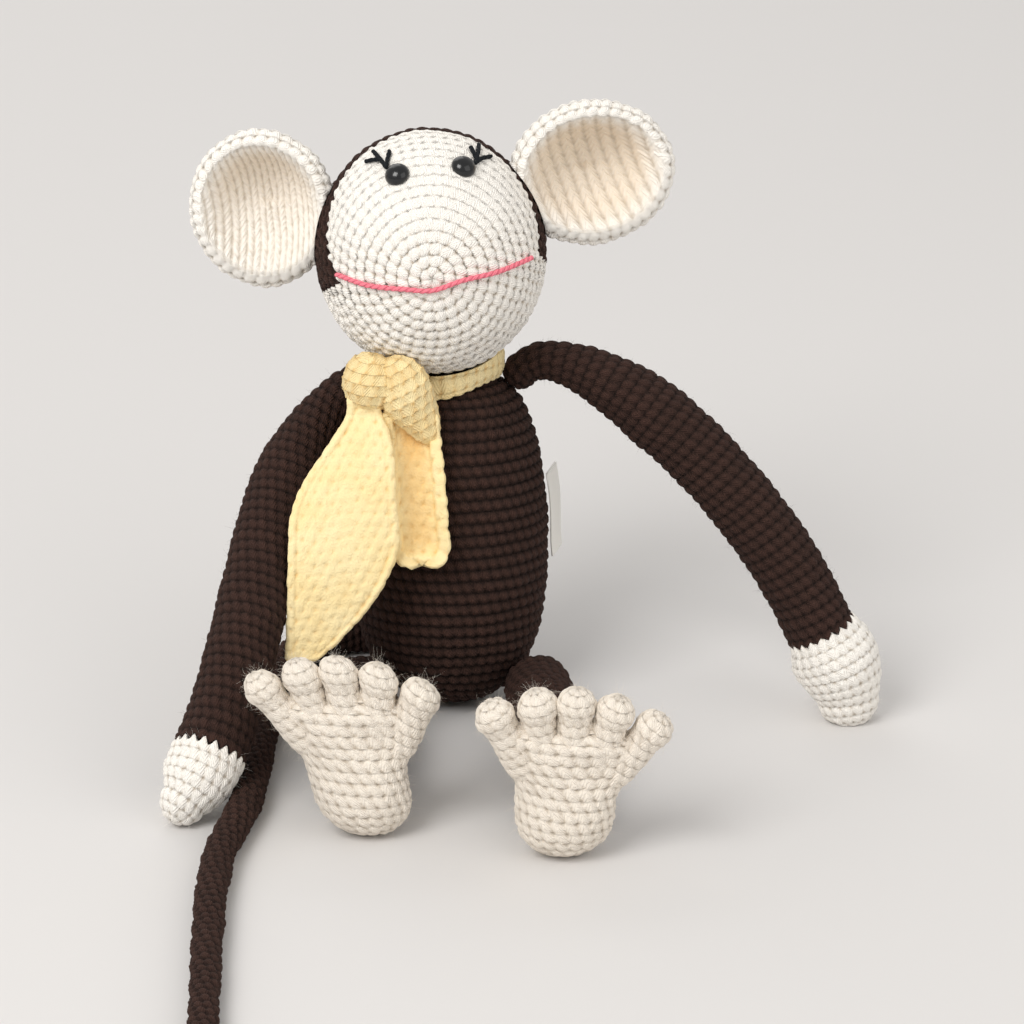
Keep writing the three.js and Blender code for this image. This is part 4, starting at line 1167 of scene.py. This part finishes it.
def buildTail():
    # a tapering tube along a smooth line on the ground, in two skins that meet between two joints
    thick, thin = tail["rootRadius"], tail["tipRadius"]
    root = ballOnGround(tail["rootTurn"], thick)
    ground = np.array(tail["ground"], float) - [0, seatBack]
    share = np.arange(1, len(ground) + 1) / len(ground)
    resting = np.column_stack([ground, mix(thick, thin, share) + tail["lift"]])
    route = Route(catmullRom(np.concatenate([[root], resting]), 40), np.array([0, 0, 1.0]))
    first, second = [share * route.length for share in tail["joints"]]
    seam = (first + second) / 2
    seamRadius = mix(thick, thin, seam / route.length)
    rear = [capOutline(0, thick, -1), [(seam, seamRadius), (seam, 0)]]
    front = [[(seam, 0), (seam, seamRadius)], capOutline(route.length, thin, 1)]
    parts = [
        ("tailRear", rear, ("tail_base", "tail_middle"), ("tail_root", "tail_mid"), first),
        ("tailFront", front, ("tail_tip",), ("tail_mid", "tail_end"), second),
    ]
    for name, outline, nodes, bodies, joint in parts:
        skin = limb(route, np.concatenate(outline), stitchLooks["tail"], 72, 51)
        piece = addPiece(name, [skin], yarns["brown"])
        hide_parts(*nodes)
        start, end = [route.at(joint + by)[0] * mm for by in (-tail["blend"], tail["blend"])]
        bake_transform(piece)


buildTail()
print("tail is in")


# Scarf.

scarf = {
    "thickness": 3.0,
    "band": {"height": 11.0, "thickness": 4.6, "middle": 17.1, "up": 123.5, "stitches": 30,
             "rows": 8, "headGap": 0.95},
    "knot": {"lobe": (-26.4, -18.6, 126.6), "lobeHalf": (9.6, 7.6, 9.4), "lobeTurn": -84.0,
             "wrap": (-12.9, -19.4, 120.2), "wrapHalf": (17.0, 8.2, 11.8), "wrapTurn": 63.0,
             "wrapPoint": 0.5, "headGap": 0.6},
    "collar": {"turn": -105.0, "wide": 40.0, "down": 4.5, "out": 5.5},
    # start is the share of the length at which a strip begins, hidden under the knot, and dark is
    # how strongly its front is tinted as painted shade inside its border
    "long": {"length": 78.4, "width": 37.4, "top": 116.0, "start": -0.08, "border": 2.7,
             "roll": 0.5, "dark": 0.0, "deeper": 1.0},
    "short": {"length": 41.5, "width": 19.4, "top": 106.1, "start": -0.24, "border": 4.0,
              "roll": 1.6, "dark": 1.0, "deeper": 1.5},
}


def stripGrid(centre, halfWidth, bulge, size):
    # a flat oval section carried down a centre line: across is the cosine and face the sine of the
    # way round, both drawn towards a rectangle by a power
    angle = 2 * np.pi * turnsAround(190)
    length = size["length"]
    share = np.linspace(size["start"], 1, int(length * (1 - size["start"]) / 0.5))[:, None]
    across = np.sign(np.cos(angle)) * np.abs(np.cos(angle)) ** 0.75
    face = -np.sign(np.sin(angle)) * np.abs(np.sin(angle)) ** 0.45
    ends = np.sqrt(np.clip(1 - (1 - np.clip((1 - share) * length / 2.0, 0, 1)) ** 2, 0, 1))
    ends[0] = 0
    middle = centre(share[:, 0])
    half = halfWidth(share) * ends
    thick = face * ends * scarf["thickness"] / 2
    x = middle[:, :1] + half * across
    y = middle[:, 1:2] + bulge(share, across * np.ones_like(half)) + thick
    z = middle[:, 2:] + 0 * x
    return np.stack([x, y, z], -1), lengths(middle), share, across, face, ends


def cutSize(grid, length):
    # the cut's size: half the smooth strip's girth and surface, less its thickness
    steps = np.roll(grid, -1, 1) - grid
    girths = np.linalg.norm(steps, axis=-1).sum(1)
    surface = np.linalg.norm(np.cross(np.diff(grid, axis=0), steps[:-1]), axis=-1).sum()
    return girths.max() / 2 - scarf["thickness"], surface / 2 - scarf["thickness"] * length


def strip(centre, halfWidth, bulge, size, seed):
    # flat crochet is turned after each row, so its stitches stand in straight columns across it
    grid, along, share, across, face, ends = stripGrid(centre, halfWidth, bulge, size)
    look, border = stitchLooks["scarf"], size["border"]
    x, far = grid[..., 0], along[:, None]
    row = far / look["row"] + 0.14 * np.sin(x * 0.31 + seed) + 0.1 * np.sin(x * 0.83 + far * 0.2)
    column = x / look["stitch"]
    height = stitchShape(column + 0.5 * np.floor(row), row % 1, look)[0]
    uneven = np.random.default_rng(seed).random((200, 200))
    uneven = uneven[np.floor(row).astype(int) % 200, np.floor(column).astype(int) % 200]
    height = height * (1 - look["uneven"] * uneven)
    # one more row is worked along the edge, with its own sunken line, which the yarn also darkens
    # as painted shade, and rolls a little
    fromEdge = np.minimum((1 - np.abs(across)) * halfWidth(share),
                          np.maximum(1 - share, 0) * size["length"])
    height = height * 0.85 + 0.2 - 0.2 * np.exp(-((fromEdge - border) / 0.6) ** 2)
    rollWidth = 1.0 + size["roll"] * 0.4
    rolled = size["roll"] * np.exp(-((fromEdge - border * 0.45) / rollWidth) ** 2)
    raised = ((height - 0.6) * look["depth"] * size["deeper"] + rolled) * smooth(ends, 0, 0.8)
    # painted shade: the front is tinted darker and warmer inside the border, where the strip curls
    # in, the more so at its top under the knot
    hollowShade = size["dark"] * smooth(fromEdge, border * 0.7, border * 2)
    hollowShade = hollowShade * mix(1, 0.6, smooth(share, -0.05, 0.25)) * (face < 0)
    normal = outward(grid)
    front = (len(grid) // 2, 3 * grid.shape[1] // 4)
    normal = normal * (-1 if normal[front][1] * face[front[1]] < 0 else 1)
    made = shell(grid + normal * raised[..., None], height, np.zeros_like(height), hollowShade)
    width, area = cutSize(grid, size["length"])
    return made, {"width": width, "length": along[-1], "area": min(area, 0.98 * width * along[-1])}


def longCentre(share):
    # out and down beside the belly, its lower half turning outwards
    clipped = np.clip(share, 0, 1)
    return np.stack([
        mix(-28.5, -35.4, smooth(share, 0, 0.4)) - 52 * np.maximum(share - 0.5, 0) ** 1.8,
        mix(-21.5, -54.5, clipped ** 0.85) - seatBack,
        scarf["long"]["top"] - share * scarf["long"]["length"]], 1)


def longHalf(share):
    # a leaf: most of half a wave
    return scarf["long"]["width"] / 2 * np.sin(np.pi * mix(0.1, 0.91, np.clip(share, 0, 1)))


def longBulge(share, across):
    # slopes from its outer edge to its inner edge, less where it is narrow
    return 4 * across * longHalf(share) / longHalf(0.5) * smooth(share, 0.1, 0.6)


def shortCentre(share):
    # steeply down and a little forwards, by a power of the share
    clipped = np.clip(share, 0, 1)
    return np.stack([mix(-12.2, -8.9, share), mix(-17.6, -30.4, clipped ** 0.7) - seatBack,
                     scarf["short"]["top"] - share * scarf["short"]["length"]], 1)


def shortHalf(share):
    # nearly straight, with the corners of its end rounded
    rounded = np.sqrt(np.clip(1 - np.clip((share - 0.84) / 0.16, 0, 1) ** 2 * 0.85, 0, 1))
    return scarf["short"]["width"] / 2 * mix(0.96, 1, smooth(share, 0, 0.3)) * rounded


def shortBulge(share, across):
    # its edges and its end curl towards the front
    curl = 1.5 * (1 - across ** 2) - 3.2 * np.abs(across) ** 3
    return curl - 2.0 * smooth(share, 0.86, 1.0)


def pebble(centre, half, turn, point, seed):
    # an oval worked in rows across its long axis, drawn to a point at its far end
    turns = turnsAround(190)
    rise = np.linspace(0, np.pi, 120)[:, None]
    around = 2 * np.pi * turns
    thin = np.sin(rise) ** 0.85 * (1 - point * (1 - np.cos(rise)) / 2)
    grid = np.stack(np.broadcast_arrays(-np.cos(rise) * half[0], -thin * np.cos(around) * half[1],
                                        thin * np.sin(around) * half[2]), -1)
    along = lengths(grid[:, 0])
    girth = (along, 2 * np.pi * thin[:, 0] * (half[1] + half[2]) / 2)
    grid = grid @ rotation("Y", turn).T + np.array(centre) - [0, seatBack, 0]
    points, height, twist = crochet(grid, along, girth, turns, stitchLooks["knot"], seed)
    return shell(outsideHead(points, scarf["knot"]["headGap"]), height, twist)


def bandShell():
    # a ring with a flattened oval section that runs the short way round, so that the grid closes
    # both ways; beside the knot its lower edge lies out and down on the shoulder like a collar
    band, collar, look = scarf["band"], scarf["collar"], stitchLooks["knot"]
    turns = turnsAround(300)
    section = np.radians(np.arange(0, 360, 360 / 56))[:, None]
    flat = np.sign(np.cos(section)) * np.abs(np.cos(section)) ** 0.8
    near = np.exp(-((360 * turns - 360 - collar["turn"]) / collar["wide"]) ** 2)
    low = (1 - np.sin(section)) / 2 * near
    reach = band["middle"] + band["thickness"] / 2 * flat + collar["out"] * low
    up = band["up"] + band["height"] / 2 * np.sin(section) - collar["down"] * low
    grid = onTorso(revolve(reach, reach, up, turns))
    height, twist = stitchShape(turns * band["stitches"] + 0 * reach,
                                (np.degrees(section) / 360 * band["rows"]) % 1, look)
    normal = unit(np.cross(np.roll(grid, -1, 1) - np.roll(grid, 1, 1),
                           np.roll(grid, -1, 0) - np.roll(grid, 1, 0)))
    ring = outsideHead(grid + normal * ((height - 0.6) * look["depth"])[..., None],
                       band["headGap"])
    index = np.arange(height.size).reshape(height.shape)
    beside, above = np.roll(index, -1, 1), np.roll(index, -1, 0)
    quads = np.stack([index, beside, np.roll(beside, -1, 0), above], -1).reshape(-1, 4)
    fields = [field.ravel() for field in (height, twist, 0 * height)]
    return ring.reshape(-1, 3), *fields, quads, np.zeros((0, 3), int)


def buildScarf():
    # band and knot are sewn down, both ends hang from the knot
    knot = scarf["knot"]
    lobe = pebble(knot["lobe"], knot["lobeHalf"], knot["lobeTurn"], 0.0, 61)
    wrap = pebble(knot["wrap"], knot["wrapHalf"], knot["wrapTurn"], knot["wrapPoint"], 62)
    for name, shells, node, fill in (("scarfBand", [bandShell()], "scarf_band", 0.2),
                                     ("scarfKnot", [lobe, wrap], "scarf_knot", 0.6)):
        piece = addPiece(name, shells, yarns["yellow"])
        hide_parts(node)
        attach(piece, "torso")

    ends = {
        "scarfLongEnd": (longCentre, longHalf, longBulge, "long", 62),
        "scarfShortEnd": (shortCentre, shortHalf, shortBulge, "short", 63),
    }
    for name, (centre, half, bulge, key, seed) in ends.items():
        made, cut = strip(centre, half, bulge, scarf[key], seed)
        piece = addPiece(name, [made], yarns["yellow"])
        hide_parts(f"scarf_{key}_end")
        print(f"{name} was cut {cut['width']:.0f} by {cut['length']:.0f} mm, "
              f"{cut['area']:.0f} square mm")
        start, end = [centre(np.array([place]))[0] * mm for place in (-0.02, 0.12)]
        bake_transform(piece)


buildScarf()
print("scarf is in")


# Side label.

label = {"length": 31.0, "width": 13.0, "thickness": 0.9, "height": 83.0, "turn": 8.0,
         "tilt": -5.0, "aside": -15.0, "gap": 0.5, "wave": 0.5}


def buildLabel():
    # a bare ribbon that hangs from its sewn edge: a flat section with a slow wave down its length
    thick, wide, gap = label["thickness"], label["width"], label["gap"]
    out, aside = math.radians(label["turn"]), math.radians(label["aside"])
    width = bodyWidth(label["height"])
    seat = onTorso(np.array([math.cos(out) * width, math.sin(out) * width, label["height"]]))
    seat = seat + [sewnGap + thick / 2 + gap - wide / 2 * math.sin(aside), 0, 0]
    angle = 2 * np.pi * turnsAround(72)
    drop = np.concatenate([[0, 0], np.linspace(0, 1, 60), [1, 1]])[:, None] * label["length"]
    fold = np.concatenate([[0, 0.7], np.full(60, 1), [0.7, 0]])[:, None]
    x = thick / 2 * np.sign(np.cos(angle)) * np.abs(np.cos(angle)) ** 0.5 * fold
    x = x + label["wave"] * np.sin(drop * 0.16)
    y = wide / 2 * np.sign(np.sin(angle)) * np.abs(np.sin(angle)) ** 0.3 * fold
    turned = rotation("Z", label["aside"]) @ rotation("Y", label["tilt"])
    grid = np.stack(np.broadcast_arrays(x, y, -drop), -1) @ turned.T + seat
    flat = np.ones(grid.shape[:2])
    piece = addPiece("sideLabel", [shell(grid, flat, flat)], ribbonWeave)
    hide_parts("side_label")
    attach(piece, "label")


buildLabel()
print("label is in")
